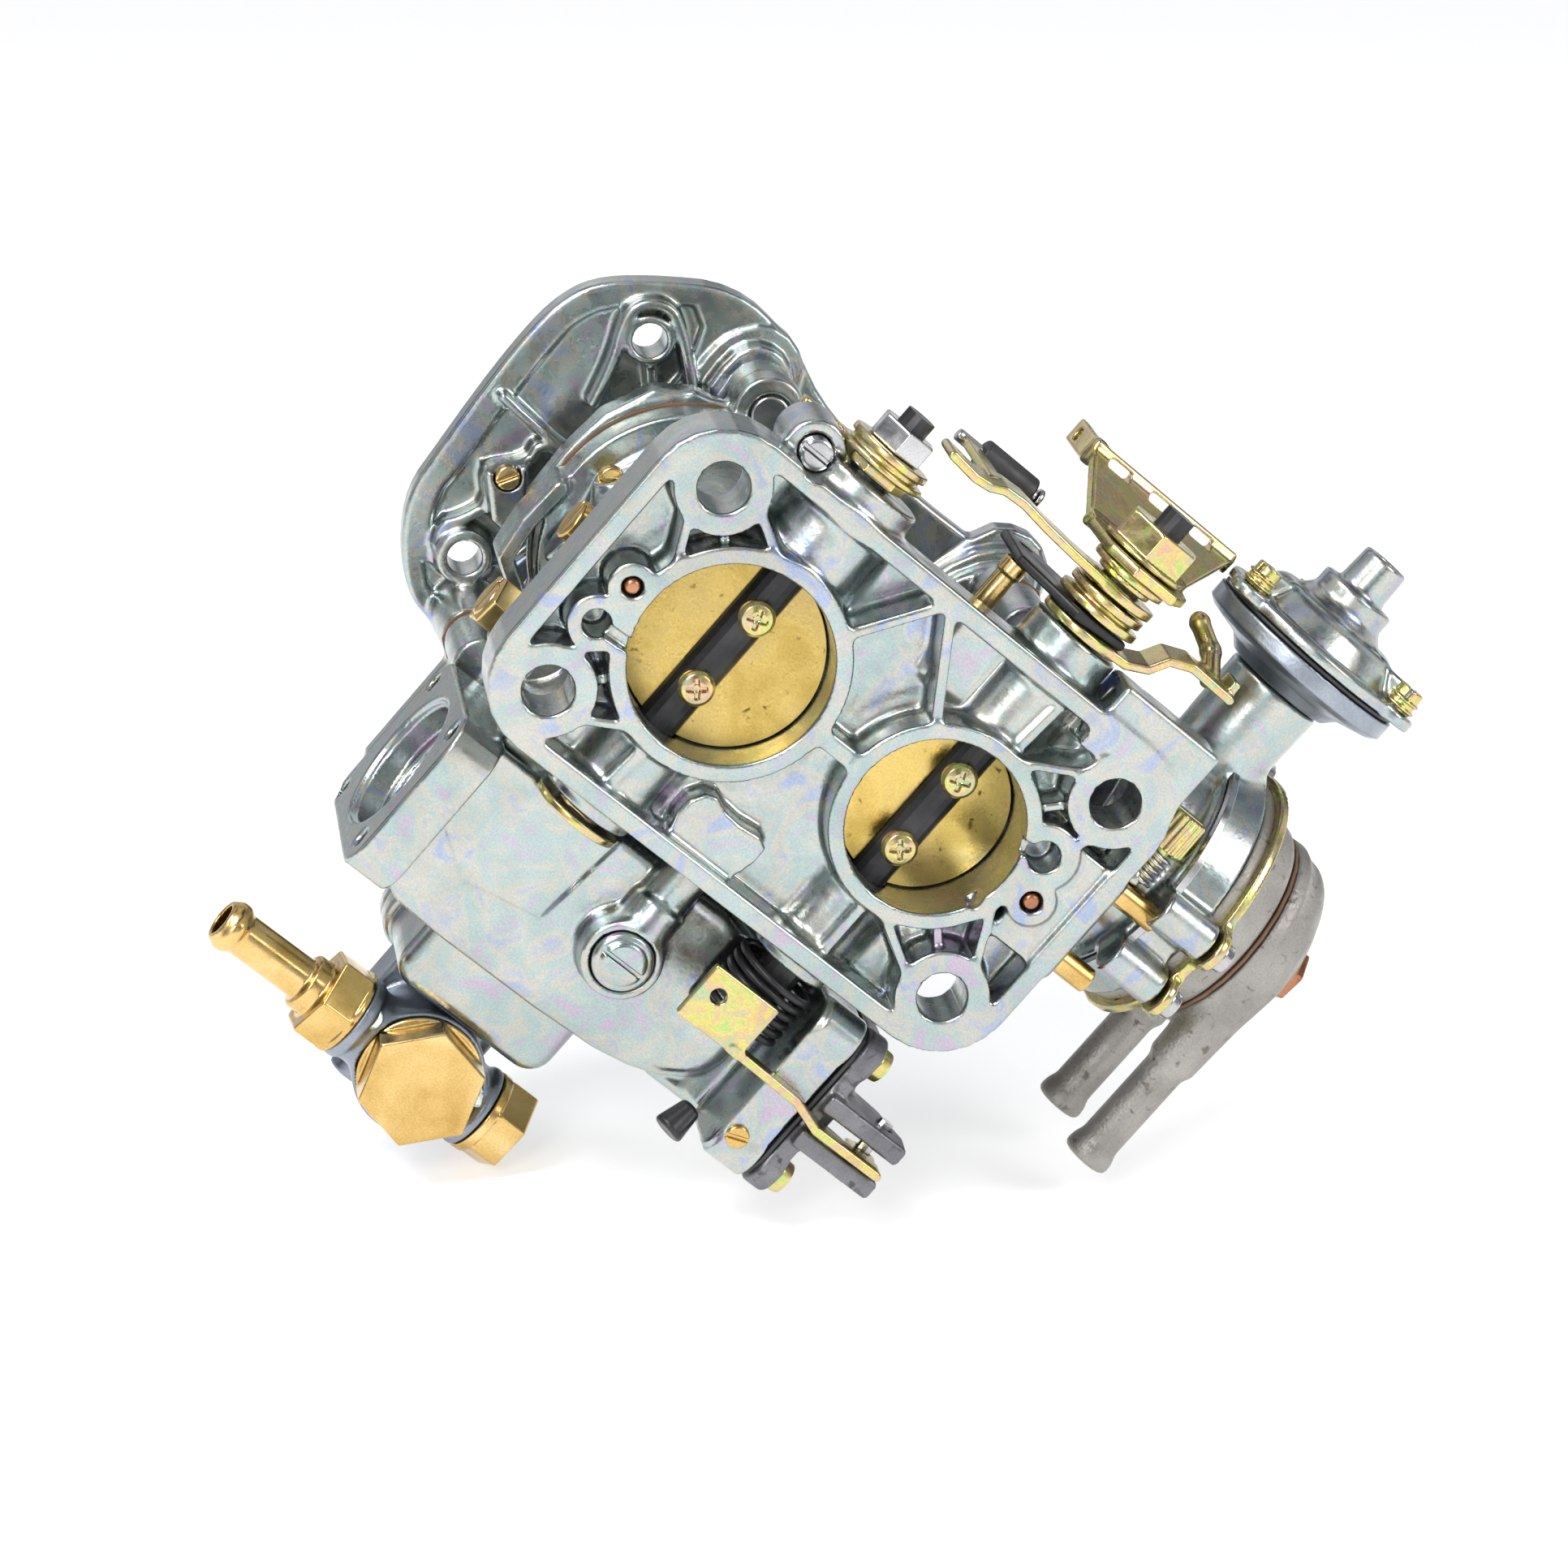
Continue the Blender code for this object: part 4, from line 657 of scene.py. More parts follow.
def throat(body):
    """Both barrels with their shaft bosses, stop bosses, deck and side ribs."""
    body.add(bar_z(SX, 0, 10, 62, 23.5, 22), bar_z(PX, 0, 10, 62, 21.5, 20.5), blend=3)
    body.add(bar_z(SX, 0, 60, DECK, 28, rim=0.5), bar_z(PX, 0, 60, DECK, 26, rim=0.5), blend=2.5)
    body.add(block((-12, -19, 11.5), (12, 19, 66), 2), blend=2.5)
    body.add(bar_y(SX, SHAFT_Z, -38.5, 0, 11, rim=0.6), bar_y(SX, SHAFT_Z, 0, 37, 9, rim=0.6),
        bar_y(PX, SHAFT_Z, -40.5, 0, 8.8, rim=0.6), bar_y(PX, SHAFT_Z, 0, 37, 8, rim=0.6), blend=2)
    body.add(*[bar_z(x, y, 52, DECK, 5.2, 5.6) for x, y in ((-43, 37), (31, -30))], blend=2.5)
    body.add(bar_z(-30.5, -30.5, 62.5, DECK, 6.4, 6.8), fence([(-30.5, -30.5), (-26, -18)], 8, 63.5, DECK,
        0.6), blend=2)
    body.add(bar_z(-35, -36.5, 9, 22, 5.6, rim=0.5), block((-39, -37, 10), (-31, -24, 18), 1),
        block((33, -40.5, 0.3), (55, -27, 11.5), 0.8), bar_y(9.5, 20.5, -31, -20, 5, rim=0.5),
        block((4.5, -31, 8), (14.5, -18, 20), 1.2), block((44, -13, 1), (58.3, 9, 12.4), 0.8),
        bar((61.6, -14, 10), (55.5, -10, 10), 3), block((38, -34, 24), (49.2, 2, 54), 1.5),
        bar_x(2, 30, -51, -40, 4.6, 5.4, 0.5), bar_x(25, 45, -48, -38, 6, 6.8, 0.6), blend=1.6)
    body.add(bar((-46.7, -4, 56), (-42, 0, 56), 3.4, 5), bar_x(10, 54, -47.5, -40, 4.4, 5.5),
        fence([(-52, 3.5), (-52.5, 12), (-51.5, 19.5), (-43.5, 24.5)], 3, 57, DECK), blend=1.6)
    for z in (24, 38, 50):
        body.add(fence([(-16, -20.5), (16, -20.5)], 2.6, z, z + 2.2, 0.8), blend=1.6)
    for x in (-10, 0, 10):
        body.add(block((x - 1.2, -22, 16), (x + 1.2, -17, 60), 0.8), blend=1.6)


def throat_cuts(body):
    body.cut(bar_z(SX, 0, -2, 26, 18), bar_z(PX, 0, -2, 26, 16), blend=0.35)
    body.cut(bar_z(SX, 0, 22, 36, 18, 14.5), bar_z(PX, 0, 22, 36, 16, 13), bar_z(SX, 0, 35, 60, 14.5, 19),
        bar_z(PX, 0, 35, 60, 13, 17.5), bar_z(SX, 0, 54, 70, 19), bar_z(PX, 0, 54, 70, 17.5), blend=0.3)
    for x in (SX, PX):
        body.cut(bar_y(x, SHAFT_Z, -43, 39, 4.15), blend=0.3)
    body.cut(bar_y(PX, SHAFT_Z, 37.3, 53.5, 9.6), bar_y(SX, SHAFT_Z, 37.3, 40.2, 9.2),
        bar_z(-35, -36.5, -1, 24, 3.15), bar_z(-4.5, 55, 30, 66, 0.5), blend=0.3)
    inner = [(-39.5, 41.6), (-39.5, 65.4), (-37.9, 69.2), (-34, 71.1), (5, 71.1), (15, 70.2), (15, 41.6)]
    body.cut(slab(inner, "Z", 20, 70, 1), slab(rounded(14.6, 11, 4, DEEP_END), "Z", 44, 70, 1),
        blend=0.6)
    body.cut(bar_x(-10, 8, 46, 66, 2.6), bar_x(6, 8, 46, 66, 2.6), bar_y(61.6, 10, -20.9, -13, 1.75),
        bar_x(2, 30, -54.5, -42.8, 4.15), bar_x(25, 45, -49, -39.3, 4.75), bar_y(9.5, 20.5, -33, -18, 2.65),
        bar_z(-30, -30.2, 60, 63.4, 4), bar_y(35, 5.8, -38, -27, 2), blend=0.3)


def main_body():
    body = Casting((-59, -44, -1.5), (66.5, 92, 69), 0.5)
    flange(body)
    throat(body)
    bowl(body)
    pump_side(body)
    throat_cuts(body)
    flange_holes(body)
    body.cut(block((-80, -60, -9), (80, 100, 0), 0), blend=0.1)
    body.make("main_casting", "cast", "casting", "main_body")


def air_horn():
    horn = Casting((-71, -45, 67.5), (62, 92, 91.2), 0.5)
    horn.add(bar_z(SX, 0, COVER, 73, 29, 28.4), bar_z(PX, 0, COVER, 73, 27, 26.4),
        slab(bowl_outline(2.2), "Z", COVER, 73.2, 0.5), slab(rounded(19.2, 15, 6, DEEP_END), "Z",
        COVER, 73.2, 0.5), block((-42, -24, COVER), (30, 45, 73), 0.5), blend=1.2)
    horn.add(bar_z(SX, 0, 70, 90, 21.6, 22.2), bar_z(PX, 0, 70, 90, 20, 20.6),
        block((-14, -20, 70), (14, 20, 89.4), 1.2), blend=2)
    rim = [(-44.5, -42), (-57.6, -33.2), (-65.6, -26), (-68.4, -18.7), (-69, -10), (-68.6, 2), (-67.4, 16.3),
        (-66.6, 26), (-61, 35), (-53.5, 41.5), (-46, 42.5), (-30, 36), (10, 32), (38, 30), (52, 22), (58, 8),
        (58, -10), (50, -26), (34, -34), (10, -33), (-14, -34), (-30, -41)]
    horn.add(slab(smooth(rim), "Z", 84.2, 90, 0.8), blend=1.5)
    return horn


def air_horn_ribs(horn):
    """The underside of the filter rim, then the holes, and the mesh."""
    recess = [(-46.1, -35.9), (-54.9, -29.2), (-60.9, -23.3), (-62.9, -18.7), (-63.4, -15.9), (-63.1, -0.4),
        (-61.7, 16.3), (-61.7, 22.7), (-58, 29.8), (-50.8, 31), (-40, 22), (-46, 8), (-46.4, -8), (-40, -21)]
    horn.cut(slab(smooth(recess, 1), "Z", 80, 86.6, 0.8), blend=1)
    horn.cut(slab([(-56, 34.2), (-52.6, 37.4), (-48.6, 38.6), (-44, 32.4), (-50.8, 32.4)], "Z", 80, 86.4,
        0.6), blend=0.8)
    tear = [(-51.7, -9.2), (-53.9, -17.6), (-57.7, -25.4), (-56.8, -29.1), (-53.4, -31.5), (-49.3, -30.9),
        (-38.8, -22.4)]
    horn.add(fence(smooth(tear, 2, False), 2, 80.5, 87.5, 0.6), bar_z(-51.4, -24.7, 80.6, 87, 4.6, 5.2, 0.5),
        fence([(-47.7, -20.7), (-43.3, -16.3)], 2, 81.5, 87.5, 0.6), blend=1.2)
    wall = [(-56.5, 29.8), (-58, 26.4), (-55.7, 23.2), (-53.8, 18), (-58.3, 13.6), (-53.2, 7.5), (-54, 3.2),
        (-50, 2)]
    horn.add(bar_z(-51.3, 28.3, 80.5, 87, 5.2, 5.8, 0.5), fence(smooth(wall, 1, False), 2, 82, 87.5, 0.6),
        fence([(-64.9, 0.6), (-50, 1.7)], 1.8, 82, 87.5, 0.6), blend=1.2)
    boss = [(-59.3, 13), (-54, 7.2), (-50, 12), (-44, 14), (-45, 20), (-52.5, 19.4)]
    horn.add(slab(boss, "Z", 78.4, 87, 0.8), blend=1.4)
    arc_wall = [(-50.7, 9.5), (-51.1, -0.1), (-50.2, -10), (-46.5, -18.4), (-40.6, -22.6), (-34.5, -23.5)]
    horn.add(fence(arc_wall, 3.6, 69, 75.5, 0.7), blend=1.4)
    steps = ((83.4, [(-40.4, -22.7), (-41, -30.6), (-39.9, -35.3), (-35.9, -40.6), (-29.3, -41.4), (-23, -37),
        (-19, -20)]), (79.4, [(-37.6, -22.3), (-38.3, -31.8), (-36.3, -36.6), (-31.6, -38.5), (-27.1, -36.8),
        (-22.3, -31), (-19, -20)]), (75.4, [(-34.5, -22.4), (-35.6, -31.4), (-33.1, -35), (-28.6, -34.6),
        (-24, -30), (-20, -20)]))
    for low, points in steps:
        mirrored = [(-x - 1, y) for x, y in points]
        horn.add(slab(smooth(points, 1), "Z", low, 89, 0.9), slab(smooth(mirrored, 1), "Z", low, 89, 0.9),
            blend=0.9)
    horn.add(bar_z(-30.5, -30.5, 69, 77, 6.2), bar_z(30, -30, 69, 78, 5.8), bar_z(-43, 37, 69, 86, 5.8, 7),
        blend=1.5)
    horn.cut(bar_z(SX, 0, 60, 95, 19), bar_z(PX, 0, 60, 95, 17.5), blend=0.6)
    horn.cut(block((52.2, -8, 70), (55.4, 16, 86.6), 0.4), blend=0.3)
    for x, y in ((-51.4, -24.7), (-51.3, 28.3)):
        horn.cut(bar_z(x, y, 79, 93, 3.2), blend=0.3)
    horn.cut(bar_z(-55.6, 11.2, 76, 80, 2.6), blend=0.3)
    horn.cut(bar_x(0, 80, -50, 60, 3.25), bar_z(56.8, 8, 70, 93, 3), blend=0.3)
    horn.cut(slab(rounded(14.6, 11, 4, DEEP_END), "Z", 66, 71.5, 0.6), blend=0.3)
    horn.cut(block((-80, -60, 90), (80, 100, 99), 0), blend=0.1)
    horn.make("horn_casting", "cast", "casting", "air_horn")


def choke_unit():
    y, z = CHOKE
    shell = Casting((48, -56, -1), (79.5, 16, 60), 0.5)
    shell.add(bar_x(y, z, 49.6, 60, 18.5, 20.5), bar_x(y, z, 58, 68.5, 20.5, 22.5),
        bar_x(y, z, 66.5, 76, 24, 25.4, 0.5), blend=2.5)
    shell.add(bar_y(66, z, -30, -53.7, 9, 9.6, 0.8), blend=3)
    for c, s in around(y, z, 26.6, RING_SCREWS):
        shell.add(bar_x(c, s, 66.5, 78, 4, rim=0.6), blend=2.2)
    shell.cut(bar_x(y, z, 52, 80, 15), blend=0.4)
    shell.make("choke_casting", "cast", "casting", "choke_housing")
    hoop("choke_band", [(24.9, 66.9), (25.7, 67.3), (25.7, 68.7), (24.9, 69.1)], (0, y, z), "bright",
        "casting")
    cover = Casting((75, -44, 2), (90, 16, 62), 0.45)
    cover.add(bar_x(y, z, 76.3, 79, 24.5, rim=0.4), bar_x(y, z, 78, 88, 23.4, 20.6, 1.2), blend=1.2)
    cover.make("bimetal_casting", "rough", "casting", "bimetal_cover")
    clamp = Casting((77.5, -47, -2), (83, 18, 64), 0.4)
    clamp.add(spin([(22.9, 78.6), (26.4, 78.6), (26.4, 80.4), (22.9, 80.4)], "X", (0, y, z)), blend=0.3)
    for c, s in around(y, z, 27.6, RING_SCREWS):
        clamp.add(bar_x(c, s, 78.6, 80.4, 4.2, rim=0.3), blend=2)
    for c, s in around(y, z, 23.2, range(0, 360, 30)):
        clamp.cut(bar_x(c, s, 78, 82, 1.3), blend=0.3)
    clamp.make("clamp_ring", "yellow", "casting", "retaining_ring")
    for index, (c, s) in enumerate(around(y, z, 27.9, RING_SCREWS), 1):
        screw(f"ring_screw_{index}", (80.5, c, s), (1, 0, 0), 2.9, 2.2, "bright", "casting", 20)


def jacket():
    y, z = CHOKE
    dome = Casting((88, -36, 8), (105, 38, 56), 0.45)
    dome.add(bar_x(y, z, 89.3, 92, 20.2, 20, 0.5), blend=0.5)
    dome.add(bar_x(y, z, 91, 99, 19.8, 18.4, 3.5), bar_x(y, z, 96, 102.2, 17, 12.5, 3),
        bar_x(y, z, 99, 103.8, 8.2, 7.2, 0.6), blend=3)
    for low in (19, 45):
        dome.add(bar_y(94.5, low, y, 10, 5.8, 4.4, 0.6), bar_y(94.5, low, y, 33.4, 3.9, rim=0.5),
            blend=2.2)
        dome.add(bar_y(94.5, low, 30.4, 33.8, 4.1, 4.7, 1.2), blend=1.6)
        dome.cut(bar_y(94.5, low, 12, 40, 2.9), blend=0.3)
    dome.make("jacket_casting", "rough", "casting", "water_jacket")


# ---- fittings ----
def fitting(name, material, body, nodes, adds, cuts=(), blend=0.3, cell=0.25, cut_blend=0.15):
    """A small machined or pressed piece."""
    low = [min(s.low[i] for s in adds) - 1 for i in range(3)]
    high = [max(s.high[i] for s in adds) + 1 for i in range(3)]
    piece = Casting(low, high, cell)
    piece.add(*adds, blend=blend)
    piece.cut(*cuts, blend=cut_blend)
    piece.make(name, material, body, *nodes)


def local(point, axis, shapes, roll=0):
    """Shapes drawn about +Z at the origin, stood on a point along an axis."""
    turn = Vector(axis).to_track_quat("Z", "Y").to_matrix().to_4x4()
    place = Matrix.Translation(Vector(point)) @ turn @ Matrix.Rotation(math.radians(roll), 4, "Z")
    return [placed(shape, place) for shape in shapes]


def screw(name, seat, axis, radius, height, material, body, roll=0, kind="slot", nodes=(), extra=()):
    """A headed screw that stands on its seat."""
    adds = [bar_z(0, 0, 0, height, radius, radius * 0.93, 0.35)]
    width = radius * 0.11 + 0.12
    cuts = []
    if kind != "plain":
        cuts.append(block((-radius * 1.2, -width, height * 0.55), (radius * 1.2, width, height + 1), 0.05))
    if kind == "cross":
        cuts = [block((-radius * 0.55, -width, height * 0.3), (radius * 0.55, width, height + 1), 0.1),
            block((-width, -radius * 0.55, height * 0.3), (width, radius * 0.55, height + 1), 0.1)]
    shapes = local(seat, axis, adds + list(extra), roll)
    fitting(name, material, body, nodes, shapes, local(seat, axis, cuts, roll), cell=0.2)


def hexagon_nut(name, seat, axis, flats, height, material, body, nodes=(), roll=0, bore=0, extra=()):
    """A nut or bolt head with its corners turned off."""
    adds = [slab(polygon(6, flats), "Z", 0, height, 0.3)] + list(extra)
    cone = flats / 2 / math.cos(math.pi / 6)
    cuts = [spin([(flats / 2 * 0.98, height + 0.4), (cone + 1.5, height + 0.4), (cone + 1.5, height - 1.4)],
        "Z", (0, 0, 0))]
    if bore:
        cuts.append(bar_z(0, 0, -1, height + 2, bore))
    fitting(name, material, body, nodes, local(seat, axis, adds, roll), local(seat, axis, cuts, roll),
        cell=0.22)


def plates():
    """Two tilted butterflies with rolled rims, and their cross-headed screws."""
    for name, x, reach, tilt, body in (("secondary", SX, 17.7, -10, "secondary_throttle"),
            ("primary", PX, 15.7, 10, "primary_throttle")):
        slope = math.tan(math.radians(tilt))
        corners = []
        for level, grow in ((-0.7, -0.12), (-0.58, 0), (0.58, 0), (0.7, -0.12)):
            for k in range(PLATE_SIDES):
                t = math.tau * k / PLATE_SIDES
                across = (reach + grow) * math.cos(t)
                corners.append((x + across, (reach + grow) * math.sin(t), SHAFT_Z + across * slope + level))
        plate = mesh_object(name + "_butterfly", corners, tube_faces(4, PLATE_SIDES))
        plate.data.set_sharp_from_angle(angle=math.radians(35))
        fitted(plate, "plate", body, (name + "_plate",))
        for number, y in enumerate((-8, 8), 1):
            seat = (x, y, SHAFT_Z - 4.1)
            adds = [spin([(0, 0), (3.3, 0), (3.3, 1), (2.7, 1.7), (1.6, 2.05), (0, 2.1)], "Z", (0, 0, 0))]
            cuts = [block((-1.9, -0.42, 1), (1.9, 0.42, 3), 0.1),
                block((-0.42, -1.9, 1), (0.42, 1.9, 3), 0.1), bar_z(0, 0, 0.8, 3, 0.8)]
            fitting(f"{name}_butterfly_screw_{number}", "yellow", body, (f"{name}_plate_screw_{number}",),
                local(seat, (0, 0, -1), adds, 20 * number), local(seat, (0, 0, -1), cuts, 20 * number),
                cell=0.15)


def throttle_linkage():
    first, second = "primary_throttle", "secondary_throttle"
    hub = [(15, 5), (20, 0.5), (29, 1), (34, 10), (36, 22), (14, 22)]
    rise = math.degrees(math.atan2(8, 20))
    tilt = Matrix.Translation((0, -56.4, 21)) @ Matrix.Rotation(math.radians(rise), 4, "X")
    length = math.hypot(8, 20)
    flare = placed(slab([(14, 0), (36, 0), (47, length), (13, length)], "Y", -1, 1, 0.35), tilt)
    top = placed(slab([(12.8, -1.6), (47, -1.6), (47, 2.6), (12.8, 2.6)], "Z", 40, 42, 0.5),
        Matrix.Translation((0, -65, 0)))
    slots = [slab(rounded(2.6, 1, 0.9, (x, -64.7)), "Z", 38, 44, 0.1) for x in (19, 29, 39)]
    fitting("cable_lever", "yellow", first, ("throttle_lever",),
        [slab(hub, "Y", -57.4, -55.4, 0.4), flare, top, block((12.6, -66.6, 41), (14.6, -61.6, 56), 0.5)],
        slots + [bar_y(PX, SHAFT_Z, -60, -52, 3.2), bar_y(13.6, 51.5, -70, -60, 0.2),
        bar_x(-64.1, 51.5, 10, 17, 1.3)], blend=1.6, cell=0.3)
    hexagon_nut("lever_nut", (PX, -57.7, SHAFT_Z), (0, -1, 0), 13.6, 6.4, "yellow", first, ("throttle_nut",),
        12, 3, [bar_z(0, 0, 0, 1, 8.4, rim=0.3)])
    fitting("lever_bush", "yellow", first, ("throttle_bush",),
        [bar_y(PX, SHAFT_Z, -55.1, -53.6, 7.5), bar_y(PX, SHAFT_Z, -53.6, -52.4, 5.6)],
        [bar_y(PX, SHAFT_Z, -57, -50, 4.3)])
    stop = [(7, 14), (7, 31), (13, 31), (30, 18.5), (30, 7), (18, 3)]
    fitting("stop_lever", "black", first, ("idle_stop_plate",), [slab(stop, "Y", -44.9, -43.1, 0.5)],
        [bar_y(PX, SHAFT_Z, -46, -40, 4.3), bar_y(11, 27, -46, -40, 1.4)])
    fitting("washer_stack", "yellow", "casting", ("primary_spacer",), [bar_y(PX, SHAFT_Z, -49.5, -45.2, 6.6)]
        + [bar_y(PX, SHAFT_Z, -46.9, -45.3, 8.4, rim=0.3),
        bar_y(PX, SHAFT_Z, -49.3, -47.7, 7.8, rim=0.3)], [bar_y(PX, SHAFT_Z, -51, -44, 4.4)])
    strip = [(23.45, -50.8), (7, -51.6), (-4.5, -53), (-9.5, -50.6), (-17, -51.4)]
    fitting("progression_strip", "yellow", "progression", ("progression_lever",),
        [fence(smooth(strip, 1, False), 1.7, 5, 14, 0.4), bar_y(PX, SHAFT_Z, -51.7, -49.9, 8),
        slab([(-8.4, 10), (-4.2, 10), (-4.6, 36), (-6.4, 39), (-8.6, 36)], "Y", -52.6, -51, 0.3)],
        [bar_y(PX, SHAFT_Z, -53, -48, 4.3), bar_y(-14.5, 9.5, -55, -48, 1.5)], blend=0.8)
    fitting("link_sleeve", "rubber", "progression", (), [bar_x(-51.8, 36, -4, 8, 2.9, rim=0.5)], cell=0.2)
    fitting("link_pin", "bright", "progression", (), [bar_x(-51.8, 36, -9.6, 10, 1.2),
        bar_x(-51.8, 36, 9, 10.2, 2)], cell=0.2)
    fast = [(23.45, -41.8), (34.5, -42.4), (38.5, -49.4), (50.5, -49)]
    fitting("fast_idle_strip", "yellow", "fast_idle", ("fast_idle_lever",),
        [fence(smooth(fast, 1, False), 1.7, 5, 14, 0.4), bar_y(PX, SHAFT_Z, -42.7, -40.9, 8.2),
        bar((47.5, -48.6, 10), (46, -52.5, 16), 1.8), bar((46, -52.5, 16), (42, -55, 20), 1.8),
        ball((46, -52.5, 16), 1.8), ball((42, -55, 20), 1.8),
        block((49.4, -52.2, 6.5), (51, -48.4, 12.5), 0.4)], [bar_y(PX, SHAFT_Z, -45, -39, 4.3)], blend=0.8)
    arm = [(-17.7, 10), (-18.5, 16), (-22, 20.5), (-28, 27.5), (-38, 27.5), (-38, 23.4), (-29.7, 23.4),
        (-29.7, 10), (-27, 6.6), (-21, 6.3)]
    fitting("secondary_arm", "yellow", second, ("secondary_lever",),
        [slab(arm, "Y", -41.2, -39.2, 0.4), block((-38.4, -41.2, 23.5), (-31, -33, 25.4), 0.5)],
        [bar_y(SX, SHAFT_Z, -43, -38, 3.1)], blend=0.9)
    fitting("secondary_washers", "yellow", second, (), [bar_y(SX, SHAFT_Z, -42.4, -41.35, 8.8, rim=0.25),
        bar_y(SX, SHAFT_Z, -43.6, -42.3, 7.2, rim=0.25), bar_y(SX, SHAFT_Z, -44.9, -43.5, 8, rim=0.25)],
        [bar_y(SX, SHAFT_Z, -46, -40, 4.2)])
    hexagon_nut("secondary_arm_nut", (SX, -45, SHAFT_Z), (0, -1, 0), 10, 4.6, "bright", second,
        ("secondary_nut",), 20, 2.6)
    fitting("secondary_cap", "yellow", second, ("secondary_end_cap",),
        [bar_y(SX, SHAFT_Z, 38.3, 39.9, 8.6, rim=0.4)], [bar_y(SX, SHAFT_Z, 37, 41, 4.2)])
    sweep("shaft_spring", coil((PX, SHAFT_Z), 7.6, 38.9, 50.2, 6), 0.75, "black", "casting",
        "throttle_spring")


def adjusters():
    """Mixture screw, idle screw and the second stage's stop screw."""
    head = [bar_z(0, 0, 0, 7.5, 3.9, 3.7, 0.5)]
    grooves = [bar((3.95 * math.cos(math.tau * k / 16), 3.95 * math.sin(math.tau * k / 16), -1),
        (3.8 * math.cos(math.tau * k / 16), 3.8 * math.sin(math.tau * k / 16), 9), 0.42) for k in range(16)]
    slot = [block((-5, -0.5, 5.6), (5, 0.5, 9), 0.1)]
    stem = [bar_z(0, 0, -7.7, 0.2, 1.6)]
    seat = (61.6, -21, 10)
    fitting("mixture_knob", "yellow", "mixture_adjuster", ("mixture_screw",),
        local(seat, (0, -1, 0), head + stem), local(seat, (0, -1, 0), grooves + slot), cell=0.2)
    sweep("mixture_spring", coil((61.6, 10), 2.6, -20.6, -13.9, 5), 0.4, "bright", "casting")
    idle = local((9.5, -42.8, 20.5), (0, 1, 0), [bar_z(0, 0, 0, 24.2, 2.1)])
    idle += local((9.5, -42.8, 20.5), (0, 1, 0), [bar_z(0, 0, 0, 3, 2.5, rim=0.4)])
    fitting("idle_stop_screw", "brass", "idle_adjuster", ("idle_screw",), idle,
        local((9.5, -42.8, 20.5), (0, 1, 0), [block((-3, -0.4, -1), (3, 0.4, 1.2), 0.05)], 25), cell=0.2)
    stop = [bar_z(-35, -36.5, 6.5, 22.9, 2.6)]
    stop += [bar_z(-35, -36.5, 6.7 + 1.1 * k, 7.3 + 1.1 * k, 2.95, rim=0.25) for k in range(14)]
    fitting("secondary_stop", "bright", "casting", ("secondary_stop_screw",), stop,
        [block((-39, -36.95, 5), (-31, -36.05, 7.9), 0.05)], cell=0.2)


def plugs():
    fitting("vent_plug", "brass", "casting", ("brass_plug",),
        [bar_x(2, 30, -54.5, -43, 3.6, rim=0.5), bar_x(2, 30, -54.5, -51.5, 4, rim=0.5)],
        [block((-56, -2.4, 29.5), (-53, 6.4, 30.5), 0.1)], cell=0.2)
    jet = [slab([(25 + u, 45 + v) for u, v in polygon(6, 9.2, phase=0.3)], "X", -52.6, -47, 0.5),
        bar_x(25, 45, -47.5, -39.5, 3.6), bar_x(25, 45, -53, -52, 3.6, rim=0.3)]
    fitting("jet_holder", "brass", "casting", ("idle_jet_holder",), jet,
        [block((-54, 20, 44.4), (-51.4, 30, 45.6), 0.1)], cell=0.2)
    fitting("drain_cap", "cast", "casting", ("bowl_plug",),
        [bar_z(0, 55, 9.4, 16.5, 5.6, rim=1.2), bar_z(0, 55, 8.6, 10.4, 4, 4.6, 0.8)],
        [block((-7, 54.6, 7), (7, 55.4, 9.4), 0.1)], cell=0.2)
    for index, (y, end) in enumerate(((-10, 69), (6, 67)), 1):
        fitting(f"vacuum_pipe_{index}", "brass", "casting", (f"vacuum_tube_{index}",),
            [bar_x(y, 8, 47.5, end, 2.45, rim=0.2)], [bar_x(y, 8, 52, end + 1, 1.5)], cell=0.2)
    for name, spot, size in (("port_ball_1", (-46.2, 0, 1.5), 1.6), ("port_ball_2", (46.1, -0.1, 1.5), 1.7)):
        fitting(name, "copper", "casting", (), [ball(spot, size)],
            [block((spot[0] - 5, spot[1] - 5, -3), (spot[0] + 5, spot[1] + 5, 0.15), 0.1)], cell=0.2)
    screw("horn_jet", (-55.6, 11.2, 79.9), (0, 0, -1), 2.4, 2.2, "brass", "casting", 60)
    screw("body_jet", (-46.7, -4, 56.2), (0, 0, -1), 2.6, 2, "brass", "casting", 30)
    screw("deck_plug", (-30, -30.2, 63.6), (0, 0, -1), 3.8, 1.6, "bright", "casting", 40, "plain")


